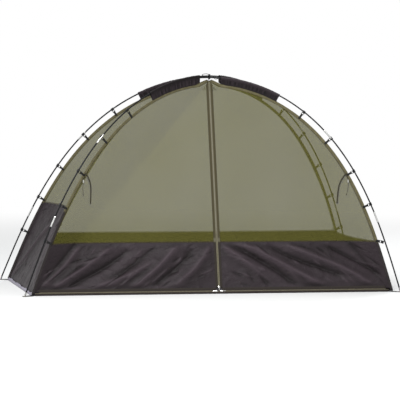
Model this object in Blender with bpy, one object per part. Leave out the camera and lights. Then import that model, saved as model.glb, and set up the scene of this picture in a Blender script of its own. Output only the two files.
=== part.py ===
"""A one-person mosquito net tent.

Two sectional poles bend from corner to corner and cross over the middle. Clips and sleeves hang a
body of fine net with dark nylon lower walls from them. The long front opens as two doors that a
zip down the middle and a zip along the floor hold together.

Units are metres and +Z is up. X runs along the tent, and the doors face -Y. The origin is the middle
of the floor's underside.
"""

import math

import bmesh
import bpy
import numpy as np
from mathutils import Matrix, Vector

for leftover in list(bpy.data.objects):
    bpy.data.objects.remove(leftover, do_unlink=True)

# Floor, walls and the space between pieces that touch
FLOOR_LENGTH = 2.10
FLOOR_WIDTH = 1.00
CLOTH = 0.0012
FIT = 0.0003
LOW_WALL = 0.287
HIGH_WALL = 0.472
END_PULL = 0.070
BACK_SAG_SHARE = 0.6
PANEL_CLEAR = 0.0030
BACK_CLEAR = 0.0060
WALL_NET_GAP = 0.0010
GORE_CLEAR = 0.0010
GORE_LOW = 0.030
FOLD_DEPTH = 0.012
FOLD_WIDTH = 0.040

# Poles
CROWN_HEIGHT = 1.236
CROWN_LEAN = 0.066
FOOT_REACH = 0.055
POLE_DIAMETER = 0.0085
POLE_BORE = 0.0044
SHOCK_CORD_DIAMETER = 0.0026
END_SECTION = 0.455
MIDDLE_SECTIONS = 5
FERRULE_LENGTH = 0.065
FERRULE_WALL = 0.0006
TIP_START = 0.0016
TIP_PIN_DIAMETER = 0.0040
TIP_PIN_END = 0.0054
TIP_BORE_START = 0.0120
TIP_END = 0.0250
TIP_VENT = 0.0012
TIP_DIAMETER = 0.0096

# Seams, the bound edges that stand on them, and the crown
SEAM_DROP = 0.056
CROWN_DROP = 0.026
LIFT_LENGTH = 0.075
BINDING_DEPTH = 0.016
BINDING_INSIDE = 0.002
BINDING_THICKNESS = 0.003
BINDING_START = 0.0040
BINDING_CROWN_GAP = 0.030
APEX_PATCH_HEIGHT = 0.058
APEX_GAP = 0.002
SEWN_IN = 0.0015
TAPE_SEWN = 0.0010

# Sleeves over the poles, on either side of the crossing
SLEEVE_CROWN_GAP = 0.073
SLEEVE_LENGTH = 0.37
SLEEVE_CLEARANCE = 0.0012
SLEEVE_CLOTH = 0.0010
SLEEVE_SEAM_GAP = 0.0010
SLEEVE_NECK_RATIO = 1.2
SLEEVE_WRAP_DEGREES = (200, 510)
SLEEVE_STEPS = 8
SLEEVE_WRAP_STEPS = 7

# Clips: shares of the pole's free length from its foot to the sleeve, the strap and the hook
CLIP_PLACE_SHARES = (0.232, 0.387, 0.542, 0.711, 0.873)
STRAP_WIDTH = 0.012
STRAP_THICKNESS = 0.0014
EYE_BORE = 0.0049
BAR_WIDTH = 0.0030
HOOK_THICKNESS = 0.0022
HOOK_REACH = 0.018
HOOK_CHEEK = 0.0020
HOOK_SIDE_GAP = 0.0005
HOOK_WINDOW = 0.0080
HOOK_LIP_ANGLE = 11.0
LOOSE_STRAP_DROOP = 35.0
LOOSE_STRAP_SWING = 50.0

# Corner straps on the ground
CORNER_STRAP_WIDTH = 0.025
CORNER_STRAP_THICKNESS = 0.0016
CORNER_STRAP_MARGIN = 0.016
CORNER_GUSSET_LENGTH = 0.010
CORNER_GUSSET_HEIGHT = 0.009
GROMMET_BORE = 0.0075

# Doors and zips
HINGE_CLEAR = 0.004
ZIP_FOOT = 0.027
ZIP_GAP = 0.0009
COIL_WIDTH = 0.0025
COIL_THICKNESS = 0.0022
INNER_TAPE = 0.0027
OUTER_TAPE = 0.0133
HEM_ZIP_HEIGHT = 0.016
SLIDER_LENGTH = 0.012
SLIDER_WIDTH = 0.009
SLIDER_PLATE = 0.0012
SLIDER_BLADE = 0.0003
BAIL_WIDTH = 0.0058
BAIL_LEG = 0.0009
BAIL_HEIGHT = 0.0028
BAIL_THICKNESS = 0.0008
BAIL_LENGTH = 0.0012
PULL_LENGTH = 0.022
PULL_WIDTH = 0.0032
PULL_THICKNESS = 0.0008
PULL_EYE_BORE = 0.0019
FRONT_SLIDER_HEIGHT = 0.040
HEM_SLIDER_OFFSET = 0.016
ZIP_END_GAP = 0.0005
ZIP_STOP = 0.002
HEM_ZIP_END = 0.012

# Ties that hold a rolled door, hanging from the front seams beside the third clip
TIE_PLACE_SHARE = 0.525
TIE_STAND_OFF = 0.009
TIE_STRAP_WIDTH = 0.008
TIE_STRAP_THICKNESS = 0.0012
TOGGLE_CORD_DIAMETER = 0.0024
TOGGLE_DIAMETER = 0.008
TOGGLE_LENGTH = 0.016
TIE_STRAP_ROUTE = (
    (-0.006, 0.006),
    (0.006, -0.002),
    (0.013, -0.012),
    (0.022, -0.027),
    (0.031, -0.047),
    (0.037, -0.070),
    (0.040, -0.096),
    (0.041, -0.124),
    (0.042, -0.168),
)
TOGGLE_CORD_ROUTE = (
    (-0.005, 0.002),
    (-0.008, -0.008),
    (-0.014, -0.022),
    (-0.016, -0.045),
    (-0.017, -0.070),
    (-0.015, -0.095),
    (-0.010, -0.116),
)
TOGGLE_PLACE_SHARE = 0.45

# How finely curves are drawn
ARCH_STEPS = 400
PROBE = 0.002
GAP_PROBES = 56
POLE_SIDES = 6
CORD_SIDES = 5
SECTION_STEPS = 8
SEAM_STEPS = 24
NET_ROWS = 9
WALL_ROWS = 5
DOOR_COLUMNS = 18
GORE_COLUMNS = 4
BACK_COLUMNS = 16
END_COLUMNS = 8
EYE_STEPS = 6
EYE_WRAP_DEGREES = (-90, 200)
PULL_WRAP_DEGREES = (-90, 190)
RING_SIDES = 10

# Colours and surface of each finish: red, green, blue, roughness, metallic
FINISHES = {
    "dark nylon": ((0.030, 0.024, 0.026), 0.62, 0.0),
    "olive net": ((0.255, 0.245, 0.120), 0.80, 0.0),
    "floor cloth": ((0.120, 0.118, 0.140), 0.55, 0.0),
    "olive tape": ((0.110, 0.092, 0.045), 0.85, 0.0),
    "black webbing": ((0.012, 0.012, 0.012), 0.75, 0.0),
    "black plastic": ((0.018, 0.018, 0.019), 0.40, 0.0),
    "black fibreglass": ((0.014, 0.014, 0.015), 0.30, 0.0),
    "bright steel": ((0.620, 0.620, 0.610), 0.28, 1.0),
    "elastic cord": ((0.700, 0.690, 0.660), 0.80, 0.0),
}

HALF_LENGTH = FLOOR_LENGTH / 2
HALF_WIDTH = FLOOR_WIDTH / 2
LEAN_SLOPE = CROWN_LEAN / CROWN_HEIGHT
FOOT_SCALE = 1 + FOOT_REACH / math.hypot(HALF_LENGTH, HALF_WIDTH)
POLE_RADIUS = POLE_DIAMETER / 2
FERRULE_BORE_RADIUS = POLE_RADIUS + FIT
FERRULE_RADIUS = FERRULE_BORE_RADIUS + FERRULE_WALL
CORNERS = {
    "front_left": (-1, -1),
    "front_right": (1, -1),
    "back_left": (-1, 1),
    "back_right": (1, 1),
}


def bend_modulus(ratio):
    """The elastica modulus of a rod whose half span is ratio times its height."""
    turn = np.linspace(0, math.pi / 2, ARCH_STEPS + 1)
    low, high = 0.05, 0.90
    while high - low > 1e-12:
        modulus = (low + high) / 2
        bent = (modulus * np.sin(turn)) ** 2
        reach = running_sum((1 - 2 * bent) / np.sqrt(1 - bent), turn[1])[-1]
        if reach / (2 * modulus) > ratio:
            low = modulus
        else:
            high = modulus
    return modulus


def running_sum(values, step):
    """The area under evenly spaced values, up to each of them."""
    return np.concatenate(([0], np.cumsum((values[1:] + values[:-1]) * step / 2)))


class Arch:
    """A springy pole bent between two feet, leaning to one side as it rises."""

    def __init__(self, half_length, half_width, height):
        self.half_length = half_length
        self.half_width = half_width
        self.height = height
        span = math.hypot(half_length, half_width)
        modulus = bend_modulus(span / height)
        turn = np.linspace(0, math.pi / 2, ARCH_STEPS + 1)
        bent = (modulus * np.sin(turn)) ** 2
        scale = height / (2 * modulus)
        self.arc = running_sum(1 / np.sqrt(1 - bent), turn[1]) * scale
        self.out = running_sum((1 - 2 * bent) / np.sqrt(1 - bent), turn[1]) * scale / span
        self.rise = height * np.cos(turn)
        self.length = self.arc[-1]

    def point(self, corner, distance):
        """The point at this distance along the arch from the foot at a corner."""
        side_x, side_y = corner
        if distance > self.length:
            return self.point((-side_x, -side_y), 2 * self.length - distance)
        from_crown = self.length - distance
        out = float(np.interp(from_crown, self.arc, self.out))
        rise = float(np.interp(from_crown, self.arc, self.rise))
        return Vector(
            (
                side_x * self.half_length * out + LEAN_SLOPE * rise,
                side_y * self.half_width * out,
                rise,
            )
        )

    def frame(self, corner, distance):
        """A matrix at a point: X away from the tent, Y towards the nearer end, Z along the arch."""
        here = self.point(corner, distance)
        before = self.point(corner, distance - PROBE)
        after = self.point(corner, distance + PROBE)
        along = (after - before).normalized()
        across = plane_normal(corner)
        outward = across.cross(along)
        if outward.dot(here) < 0:
            outward = -outward
        return basis(here, outward, across, outward.cross(across))


class Seam(Arch):
    """The line where the front or back meets an end; it is drawn up to the poles at the crown."""

    def __init__(self, half_length, half_width, height):
        super().__init__(half_length, half_width, height)
        self.places = np.linspace(0, self.length, ARCH_STEPS + 1)
        self.heights = np.array([self.point(CORNERS["front_left"], place).z for place in self.places])

    def point(self, corner, distance):
        near_crown = LIFT_LENGTH - abs(self.length - distance)
        lift = max(near_crown, 0) / LIFT_LENGTH * (SEAM_DROP - CROWN_DROP)
        return super().point(corner, distance) + Vector((LEAN_SLOPE, 0, 1)) * lift

    def at_height(self, corner, height, inside=0):
        """The point of the seam at a height, or one that lies inside it, square to the seam."""
        place = float(np.interp(height, self.heights, self.places))
        return self.frame(corner, place) @ Vector((-inside, 0, 0))


def plane_normal(corner):
    """The direction across the upright plane of a pole, towards the tent's nearer end."""
    side_x, side_y = corner
    level = Vector((side_x * HALF_LENGTH, side_y * HALF_WIDTH, 0))
    normal = level.cross(Vector((LEAN_SLOPE, 0, 1))).normalized()
    return normal if normal.x * side_x > 0 else -normal


def basis(origin, x_axis, y_axis, z_axis):
    """The matrix that takes local coordinates to a place with the given axes."""
    turned = Matrix((x_axis, y_axis, z_axis)).transposed().to_4x4()
    return Matrix.Translation(origin) @ turned


def upper_pole():
    lift = (POLE_DIAMETER + FIT) / 2
    return Arch(HALF_LENGTH * FOOT_SCALE, HALF_WIDTH * FOOT_SCALE, CROWN_HEIGHT + lift)


def lower_pole():
    drop = (POLE_DIAMETER + FIT) / 2
    return Arch(HALF_LENGTH * FOOT_SCALE, HALF_WIDTH * FOOT_SCALE, CROWN_HEIGHT - drop)


POLE_A = upper_pole()
POLE_B = lower_pole()
SEAM = Seam(HALF_LENGTH, HALF_WIDTH, CROWN_HEIGHT - SEAM_DROP)
CROWN = SEAM.point(CORNERS["front_left"], SEAM.length)
POLE_AT = {
    "front_left": POLE_A,
    "back_right": POLE_A,
    "front_right": POLE_B,
    "back_left": POLE_B,
}


def steps(low, high, count):
    """Evenly spaced values from low to high."""
    return [low + (high - low) * index / count for index in range(count + 1)]


def loft(rings, caps=None, closed=False):
    """Points and faces of a body drawn through rings; caps close its two ends."""
    size = len(rings[0])
    points = [point for ring in rings for point in ring]
    faces = []
    turns = len(rings) if closed else len(rings) - 1
    for turn in range(turns):
        near = turn * size
        far = (turn + 1) % len(rings) * size
        for side in range(size):
            other = (side + 1) % size
            faces.append((near + side, near + other, far + other, far + side))
    return points, faces + end_faces(len(rings), size, caps or ())


def end_faces(count, size, caps):
    """The faces over the first and last ring of a body drawn through this many rings."""
    faces = []
    for cap in caps:
        faces.append(tuple(reversed(cap)))
        faces.append(tuple((count - 1) * size + index for index in cap))
    return faces


def prism(outline, frame, low, high):
    """A flat outline drawn out along its frame's Z."""
    rings = [[frame @ Vector((x, y, z)) for x, y in outline] for z in (low, high)]
    return loft(rings, [tuple(range(len(outline)))])


def box(frame, low, high):
    """A box between two corners of a frame."""
    outline = ((low[0], low[1]), (high[0], low[1]), (high[0], high[1]), (low[0], high[1]))
    return prism(outline, frame, low[2], high[2])


def band_outline(path, thickness):
    """The outline of a band of even thickness along a path, down one side and back up the other."""
    path = [Vector(point) for point in path]
    left, right = [], []
    for index, here in enumerate(path):
        before = here - path[index - 1] if index else path[1] - here
        after = path[index + 1] - here if index < len(path) - 1 else before
        before, after = before.normalized(), after.normalized()
        middle = (before + after).normalized()
        reach = Vector((-middle.y, middle.x)) * (thickness / 2 / middle.dot(before))
        left.append(here + reach)
        right.append(here - reach)
    return left + right[::-1]


def band_caps(count):
    """The faces that close the end of a band with this many points along it."""
    last = 2 * count - 1
    return [(index, index + 1, last - index - 1, last - index) for index in range(count - 1)]


def band(path, thickness, frames, low=0, high=0):
    """A band's outline in each frame in turn, or between two heights of a single frame."""
    outline = band_outline(path, thickness)
    if len(frames) == 1:
        levels = [(frames[0], low), (frames[0], high)]
    else:
        levels = [(frame, 0) for frame in frames]
    rings = [[frame @ Vector((x, y, z)) for x, y in outline] for frame, z in levels]
    return loft(rings, band_caps(len(path)))


def middle_direction(before, here, after):
    """The direction halfway between the way to a point and the way on from it."""
    return (here - before).normalized() + (after - here).normalized()


def sheet(rows, thickness=CLOTH):
    """A cloth of even thickness through a grid of points; both faces split each square alike."""
    rings = []
    last = len(rows) - 1
    for index, row in enumerate(rows):
        below, above = rows[max(index - 1, 0)], rows[min(index + 1, last)]
        top, bottom = [], []
        for place, here in enumerate(row):
            before, after = row[max(place - 1, 0)], row[min(place + 1, len(row) - 1)]
            along = middle_direction(before, here, after)
            normal = along.cross(middle_direction(below[place], here, above[place])).normalized()
            top.append(here + normal * (thickness / 2))
            bottom.append(here - normal * (thickness / 2))
        rings.append(top + bottom[::-1])
    points, squares = loft(rings)
    faces = []
    for near, other, far_other, far in squares:
        if near % len(rings[0]) < len(rows[0]):
            faces += [(near, other, far_other), (near, far_other, far)]
        else:
            faces += [(near, other, far), (other, far_other, far)]
    return points, faces + end_faces(len(rings), len(rings[0]), band_caps(len(rows[0])))


def circle(radius, sides):
    return [
        (radius * math.cos(2 * math.pi * side / sides), radius * math.sin(2 * math.pi * side / sides))
        for side in range(sides)
    ]


def rod(frames, radius, sides):
    """A solid round bar through frames."""
    rings = [[frame @ Vector((x, y, 0)) for x, y in circle(radius, sides)] for frame in frames]
    return loft(rings, [tuple(range(sides))])


def route_frames(points):
    """A frame at each point of a free cord's route."""
    frames = []
    across = Vector((0, 1, 0))
    for index, here in enumerate(points):
        before = points[max(index - 1, 0)]
        after = points[min(index + 1, len(points) - 1)]
        along = (after - before).normalized()
        outward = across.cross(along).normalized()
        frames.append(basis(here, outward, along.cross(outward), along))
    return frames


def finish_material(node, finish):
    """The node's own material with the colour, roughness and metal of a finish."""
    colour, roughness, metallic = FINISHES[finish]
    material = bpy.data.materials.new(node)
    material.use_nodes = True
    shader = material.node_tree.nodes["Principled BSDF"]
    shader.inputs["Base Color"].default_value = (*colour, 1)
    shader.inputs["Roughness"].default_value = roughness
    shader.inputs["Metallic"].default_value = metallic
    material.diffuse_color = (*colour, 1)
    return material


def closed_mesh(name, body):
    """The mesh of a closed body with its faces turned outwards."""
    points, faces = body
    mesh = bmesh.new()
    verts = [mesh.verts.new(point) for point in points]
    for face in faces:
        mesh.faces.new([verts[index] for index in face])
    if mesh.calc_volume(signed=True) < 0:
        bmesh.ops.reverse_faces(mesh, faces=mesh.faces)
    data = bpy.data.meshes.new(name)
    mesh.to_mesh(data)
    mesh.free()
    return data


def add_node(name, finish, mesh, place=None):
    """The named object of a sub-part; place turns and moves a mesh made in its own axes."""
    node = bpy.data.objects.new(name, mesh)
    if not mesh.materials:
        mesh.materials.append(finish_material(name, finish))
    else:
        node.material_slots[0].link = "OBJECT"
        node.material_slots[0].material = finish_material(name, finish)
    if place:
        node.matrix_world = place
    bpy.context.scene.collection.objects.link(node)
    return node


def fused_mesh(name, bodies, cuts=()):
    """One mesh of bodies joined where they overlap, with the cuts taken out."""
    items = [bpy.data.objects.new(name, closed_mesh(name, body)) for body in (*bodies, *cuts)]
    for item in items:
        bpy.context.scene.collection.objects.link(item)
    for index, item in enumerate(items[1:], 1):
        step = items[0].modifiers.new(item.name, "BOOLEAN")
        step.operation = "UNION" if index < len(bodies) else "DIFFERENCE"
        step.object = item
    evaluated = items[0].evaluated_get(bpy.context.evaluated_depsgraph_get())
    mesh = bpy.data.meshes.new_from_object(evaluated)
    for item in items:
        bpy.data.objects.remove(item, do_unlink=True)
    return mesh


def front_plane():
    """The doors' leaning plane: X along the tent, Y up the slope, Z outwards."""
    up_slope = Vector((0, HALF_WIDTH, CROWN.z)).normalized()
    along = Vector((1, 0, 0))
    return basis(Vector((0, -HALF_WIDTH, 0)), along, up_slope, along.cross(up_slope))


FRONT = front_plane()
SLOPE = math.hypot(HALF_WIDTH, CROWN.z)
ZIP_BED = ZIP_GAP / 2 + COIL_WIDTH + INNER_TAPE
TAPE_OUTER = ZIP_BED + FIT + OUTER_TAPE
DOOR_BOTTOM = HEM_ZIP_HEIGHT + TAPE_OUTER + FIT


def hinge_x(side, height):
    """Where a door's straight fold line lies at a height up the slope."""
    return side * HALF_LENGTH + (CROWN.x - side * HALF_LENGTH) * height / SLOPE


def zip_x(height):
    """Where the middle of the upright zip lies at a height up the slope."""
    return ZIP_FOOT + (CROWN.x - ZIP_FOOT) * height / SLOPE


def hinge_inset(side):
    """A door's clearance to its fold line, measured level."""
    run = CROWN.x - side * HALF_LENGTH
    return HINGE_CLEAR * math.hypot(run, SLOPE) / SLOPE


def fold_relief(across_share, up_share, width, height, folds):
    """How far cloth stands out at a place; each fold is a soft ridge or valley along a line."""
    total = 0
    place = Vector((across_share * width, up_share * height))
    for start_across, start_up, end_across, end_up, depth_share in folds:
        start = Vector((start_across * width, start_up * height))
        end = Vector((end_across * width, end_up * height))
        line = end - start
        along_share = min(max((place - start).dot(line) / line.length_squared, 0), 1)
        away = (place - start - line * along_share).length
        total += depth_share * math.exp(-((away / FOLD_WIDTH) ** 2))
    edge = 16 * across_share * (1 - across_share) * up_share * (1 - up_share)
    return total * FOLD_DEPTH * min(1, edge)


LEFT_FOLD_SHARES = (
    (0.02, 0.05, 0.30, 0.80, 1.0),
    (0.14, 0.05, 0.46, 0.75, -0.7),
    (0.24, 0.05, 0.62, 0.90, 0.9),
    (0.48, 0.10, 0.80, 0.70, -0.6),
    (0.62, 0.10, 0.95, 0.80, 0.6),
)
RIGHT_FOLD_SHARES = (
    (0.04, 0.90, 0.40, 0.15, 0.8),
    (0.22, 0.95, 0.62, 0.12, -0.7),
    (0.36, 0.90, 0.84, 0.18, 1.0),
    (0.62, 0.85, 0.97, 0.08, -0.6),
)
END_FOLD_SHARES = (
    (0.08, 0.08, 0.46, 0.80, 0.7),
    (0.34, 0.10, 0.70, 0.85, -0.6),
    (0.95, 0.05, 0.66, 0.75, 0.8),
)
BACK_FOLD_SHARES = (
    (0.04, 0.05, 0.22, 0.85, 0.9),
    (0.20, 0.90, 0.44, 0.10, -0.7),
    (0.40, 0.10, 0.60, 0.85, 0.8),
    (0.62, 0.90, 0.82, 0.15, -0.6),
    (0.96, 0.05, 0.80, 0.80, 0.9),
)


def door_rows(side, low, high, rows, columns, folds):
    """A grid over one door between two heights up the slope."""
    grid = []
    width = abs(zip_x(low) - hinge_x(side, low))
    for up_share in steps(0, 1, rows):
        height = low + (high - low) * up_share
        outer = hinge_x(side, height) - side * hinge_inset(side)
        inner = zip_x(height) + side * (TAPE_OUTER + FIT)
        left, right = min(outer, inner), max(outer, inner)
        row = []
        for across_share in steps(0, 1, columns):
            relief = fold_relief(across_share, up_share, width, high - low, folds)
            row.append(FRONT @ Vector((left + (right - left) * across_share, height, relief)))
        grid.append(row)
    return grid


def doors():
    """Each door is a dark lower wall and a net above it, sewn edge to edge."""
    wall_top = LOW_WALL * SLOPE / CROWN.z
    net_top = SLOPE - APEX_PATCH_HEIGHT - FIT
    for name, side, folds in (("left", -1, LEFT_FOLD_SHARES), ("right", 1, RIGHT_FOLD_SHARES)):
        wall = door_rows(side, DOOR_BOTTOM, wall_top, WALL_ROWS, DOOR_COLUMNS, folds)
        net = door_rows(side, wall_top + WALL_NET_GAP, net_top, 1, 1, ())
        add_node(f"door_{name}_wall", "dark nylon", closed_mesh(name, sheet(wall)))
        add_node(f"door_{name}_net", "olive net", closed_mesh(name, sheet(net)))


def wall_heights(low, high):
    return steps(low, high, WALL_ROWS)


def net_heights(low):
    """Heights of a net's rows: up to where the seam is drawn up to the crown, and at its binding's end."""
    kink = SEAM.point(CORNERS["front_left"], SEAM.length - LIFT_LENGTH).z
    end = SEAM.point(CORNERS["front_left"], SEAM.length - BINDING_CROWN_GAP).z
    return steps(low, kink, NET_ROWS) + [end]


def gore_rows(corner, heights, columns, folds):
    """A grid over the flat piece between a door's fold line and the bent seam."""
    side_x, side_y = corner
    foot = Vector((side_x * HALF_LENGTH, side_y * HALF_WIDTH, 0))
    level = Vector((side_x * HALF_LENGTH, side_y * HALF_WIDTH, 0)).normalized()
    across = plane_normal(corner)
    grid = []
    low, high = heights[0], heights[-1]
    for height in heights:
        up_share = (height - low) / (high - low)
        fold = foot + (CROWN - foot) * (height / CROWN.z)
        inner = fold + level * hinge_inset(side_x)
        outer = SEAM.at_height(corner, height, BINDING_INSIDE + GORE_CLEAR)
        width = (outer - inner).length
        row = []
        for across_share in steps(0, 1, columns):
            relief = fold_relief(across_share, up_share, width, high - low, folds)
            row.append(inner.lerp(outer, across_share) + across * relief)
        grid.append(row)
    return grid


GORE_FOLD_SHARES = ((0.30, 0.30, 0.45, 0.92, 0.8),)


def front_corners():
    """The parts of the front between the doors' fold lines and the seams stay still."""
    for name, corner in (("left", CORNERS["front_left"]), ("right", CORNERS["front_right"])):
        wall = gore_rows(corner, wall_heights(GORE_LOW, LOW_WALL), GORE_COLUMNS, GORE_FOLD_SHARES)
        net = gore_rows(corner, net_heights(LOW_WALL + WALL_NET_GAP), 1, ())
        add_node(f"front_{name}_wall", "dark nylon", closed_mesh(name, sheet(wall)))
        add_node(f"front_{name}_net", "olive net", closed_mesh(name, sheet(net)))


def back_rows(heights, columns, folds):
    """A grid over the back, drawn in between its two seams."""
    grid = []
    low, high = heights[0], heights[-1]
    for height in heights:
        up_share = (height - low) / (high - low)
        left = SEAM.at_height(CORNERS["back_left"], height)
        right = SEAM.at_height(CORNERS["back_right"], height)
        straight = HALF_WIDTH * (1 - height / CROWN.z)
        sag = (left.y - straight) * BACK_SAG_SHARE
        start, end = left.x + BACK_CLEAR, right.x - BACK_CLEAR
        row = []
        for across_share in steps(0, 1, columns):
            middle = 4 * across_share * (1 - across_share)
            relief = fold_relief(across_share, up_share, FLOOR_LENGTH, high - low, folds)
            row.append(Vector((start + (end - start) * across_share, left.y - sag * middle + relief, height)))
        grid.append(row)
    return grid


def end_rows(side, heights, columns, folds):
    """A grid over one end, pulled in towards the middle between its two seams."""
    front = CORNERS["front_left" if side < 0 else "front_right"]
    grid = []
    low, high = heights[0], heights[-1]
    for height in heights:
        up_share = (height - low) / (high - low)
        edge = SEAM.at_height(front, height)
        pull = END_PULL * math.sin(math.pi * height / CROWN.z)
        reach = -edge.y - PANEL_CLEAR
        row = []
        for across_share in steps(0, 1, columns):
            middle = 4 * across_share * (1 - across_share)
            relief = fold_relief(across_share, up_share, FLOOR_WIDTH, high - low, folds)
            inward = pull * middle - relief
            row.append(Vector((edge.x - side * inward, -reach + 2 * reach * across_share, height)))
        grid.append(row)
    return grid


def back_and_ends():
    """The back and both ends: a dark nylon wall below and net above."""
    bottom = CLOTH + FIT
    wall = back_rows(wall_heights(bottom, LOW_WALL), BACK_COLUMNS, BACK_FOLD_SHARES)
    net = back_rows(net_heights(LOW_WALL + WALL_NET_GAP), BACK_COLUMNS, ())
    add_node("back_wall", "dark nylon", closed_mesh("back", sheet(wall)))
    add_node("back_net", "olive net", closed_mesh("back", sheet(net)))
    for name, side, wall_height in (("left", -1, HIGH_WALL), ("right", 1, LOW_WALL)):
        wall = end_rows(side, wall_heights(bottom, wall_height), END_COLUMNS, END_FOLD_SHARES)
        net = end_rows(side, net_heights(wall_height + WALL_NET_GAP), END_COLUMNS, ())
        add_node(f"{name}_end_wall", "dark nylon", closed_mesh(name, sheet(wall)))
        add_node(f"{name}_end_net", "olive net", closed_mesh(name, sheet(net)))


def seam_gap(corner, place):
    """The straight distance from a pole's middle to its seam, square to the pole."""
    pole = POLE_AT[corner]
    frame = pole.frame(CORNERS[corner], place)
    best = None
    for other in steps(place - SEAM_DROP, place + SEAM_DROP, GAP_PROBES):
        local = frame.inverted() @ SEAM.point(CORNERS[corner], other)
        if best is None or abs(local.z) < abs(best.z):
            best = local
    return -best.x


def sleeve_start(corner_name):
    """Where along its pole a sleeve starts."""
    return POLE_AT[corner_name].length - SLEEVE_CROWN_GAP - SLEEVE_LENGTH


def clip_places(corner_name):
    """Where along their pole the clips of a seam sit."""
    return [share * sleeve_start(corner_name) for share in CLIP_PLACE_SHARES]


def pole_sleeves():
    """Four cloth sleeves near the crown, each wrapped round its pole and sewn to the seam."""
    radius = FERRULE_RADIUS + SLEEVE_CLEARANCE + SLEEVE_CLOTH / 2
    for name, corner in CORNERS.items():
        rings = []
        start = sleeve_start(name)
        for place in steps(start, start + SLEEVE_LENGTH, SLEEVE_STEPS):
            frame = POLE_AT[name].frame(corner, place)
            drop = seam_gap(name, place) - (BINDING_DEPTH - BINDING_INSIDE) - SLEEVE_SEAM_GAP
            path = [(-drop, 0), (-(drop + radius) / 2, 0), (-radius * SLEEVE_NECK_RATIO, 0)]
            for angle in steps(*SLEEVE_WRAP_DEGREES, SLEEVE_WRAP_STEPS):
                turn = math.radians(angle)
                path.append((radius * math.cos(turn), radius * math.sin(turn)))
            rings.append([frame @ Vector((x, y, 0)) for x, y in band_outline(path, SLEEVE_CLOTH)])
        body = loft(rings, band_caps(len(path)))
        add_node(f"sleeve_{name}", "dark nylon", closed_mesh(name, body))


def apex():
    """The top of the front, where the upright zip ends."""
    low, high = SLOPE - APEX_PATCH_HEIGHT, SLOPE - APEX_GAP
    rows = []
    for height in steps(low, high, 1):
        left, right = hinge_x(-1, height), hinge_x(1, height)
        rows.append([FRONT @ Vector((x, height, 0)) for x in steps(left, right, 2)])
    add_node("apex_patch", "olive net", closed_mesh("patch", sheet(rows)))


def pole_joints(pole):
    """Where a pole's sections meet, measured along the whole pole."""
    middle = (2 * pole.length - 2 * END_SECTION) / MIDDLE_SECTIONS
    return [END_SECTION + middle * index for index in range(MIDDLE_SECTIONS + 1)]


def pole_stations(pole):
    """Places along a pole with its outer and bore radius there, from one foot to the other."""
    whole = 2 * pole.length
    pin, tip, wall = TIP_PIN_DIAMETER / 2, TIP_DIAMETER / 2, POLE_RADIUS
    bore, vent = POLE_BORE / 2, TIP_VENT / 2
    half = FERRULE_LENGTH / 2
    foot = [(TIP_START, pin, vent), (TIP_PIN_END, pin, vent), (TIP_PIN_END, tip, vent)]
    foot += [(TIP_BORE_START, tip, vent), (TIP_BORE_START, tip, bore), (TIP_END, tip, bore)]
    stations = foot + [(TIP_END, wall, bore)]
    before = TIP_END
    for joint in pole_joints(pole):
        between = steps(before, joint - half, SECTION_STEPS)[1:-1]
        stations += [(place, wall, bore) for place in between]
        stations += [(joint - half, wall, bore), (joint - half, FERRULE_RADIUS, bore)]
        stations += [(joint + half, FERRULE_RADIUS, bore), (joint + half, wall, bore)]
        before = joint + half
    stations += [(place, wall, bore) for place in steps(before, whole - TIP_END, SECTION_STEPS)[1:]]
    return stations + [(whole - place, radius, hole) for place, radius, hole in reversed(foot)]


def poles():
    """Two poles of tube with metal ferrules and feet, each strung on an elastic cord."""
    for name, corner_name, pole in (("a", "front_left", POLE_A), ("b", "back_left", POLE_B)):
        corner = CORNERS[corner_name]
        outside, inside, cord = [], [], []
        for place, radius, hole in pole_stations(pole):
            frame = pole.frame(corner, place)
            outside.append([frame @ Vector((x, y, 0)) for x, y in circle(radius, POLE_SIDES)])
            inside.append([frame @ Vector((x, y, 0)) for x, y in circle(hole, POLE_SIDES)])
            if hole == POLE_BORE / 2 and (not cord or place - cord[-1] > PROBE):
                cord.append(place)
        body = loft(outside + inside[::-1], closed=True)
        add_node(f"pole_{name}", "black fibreglass", closed_mesh(name, body))
        strung = [cord[0] + FIT] + cord[2:-2] + [cord[-1] - FIT]
        frames = [pole.frame(corner, place) for place in strung]
        string = rod(frames, SHOCK_CORD_DIAMETER / 2, CORD_SIDES)
        add_node(f"shock_cord_{name}", "elastic cord", closed_mesh(name, string))


def clip_frame(corner_name, place):
    """A hook's frame at its bar: X to the pole, Y towards the tent's end, Z along the pole."""
    pole = POLE_AT[corner_name]
    radius = local_radius(pole, place)
    frame = pole.frame(CORNERS[corner_name], place)
    reach = HOOK_REACH + FERRULE_RADIUS - radius
    return frame @ Matrix.Translation((-reach, 0, 0)), reach


def local_radius(pole, place):
    """The radius that a hook grips: a ferrule's where it sits on one."""
    reach = (FERRULE_LENGTH + STRAP_WIDTH) / 2
    on_ferrule = any(abs(place - joint) < reach for joint in pole_joints(pole))
    return FERRULE_RADIUS if on_ferrule else POLE_RADIUS


def loose_frames(corner_name, place):
    """The clip that hangs off its pole: its strap's frame at the bar, and its hook's."""
    frame, reach = clip_frame(corner_name, place)
    back = seam_gap(corner_name, place) - (BINDING_DEPTH - BINDING_INSIDE) - reach
    droop = Matrix.Rotation(math.radians(LOOSE_STRAP_DROOP), 4, "Y")
    if (frame.to_3x3() @ droop.to_3x3() @ Vector((1, 0, 0))).z > (frame.to_3x3() @ Vector((1, 0, 0))).z:
        droop = droop.inverted()
    swing = Matrix.Rotation(-math.radians(LOOSE_STRAP_SWING), 4, "Z")
    strap = frame @ Matrix.Translation((-back, 0, 0)) @ droop @ swing @ Matrix.Translation((back, 0, 0))
    along = (strap.to_3x3() @ Vector((0, 0, 1))).normalized()
    down = Vector((0, 0, -1))
    down = (down - along * down.dot(along)).normalized()
    return strap, basis(strap.translation, down, along.cross(down), along)


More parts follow.
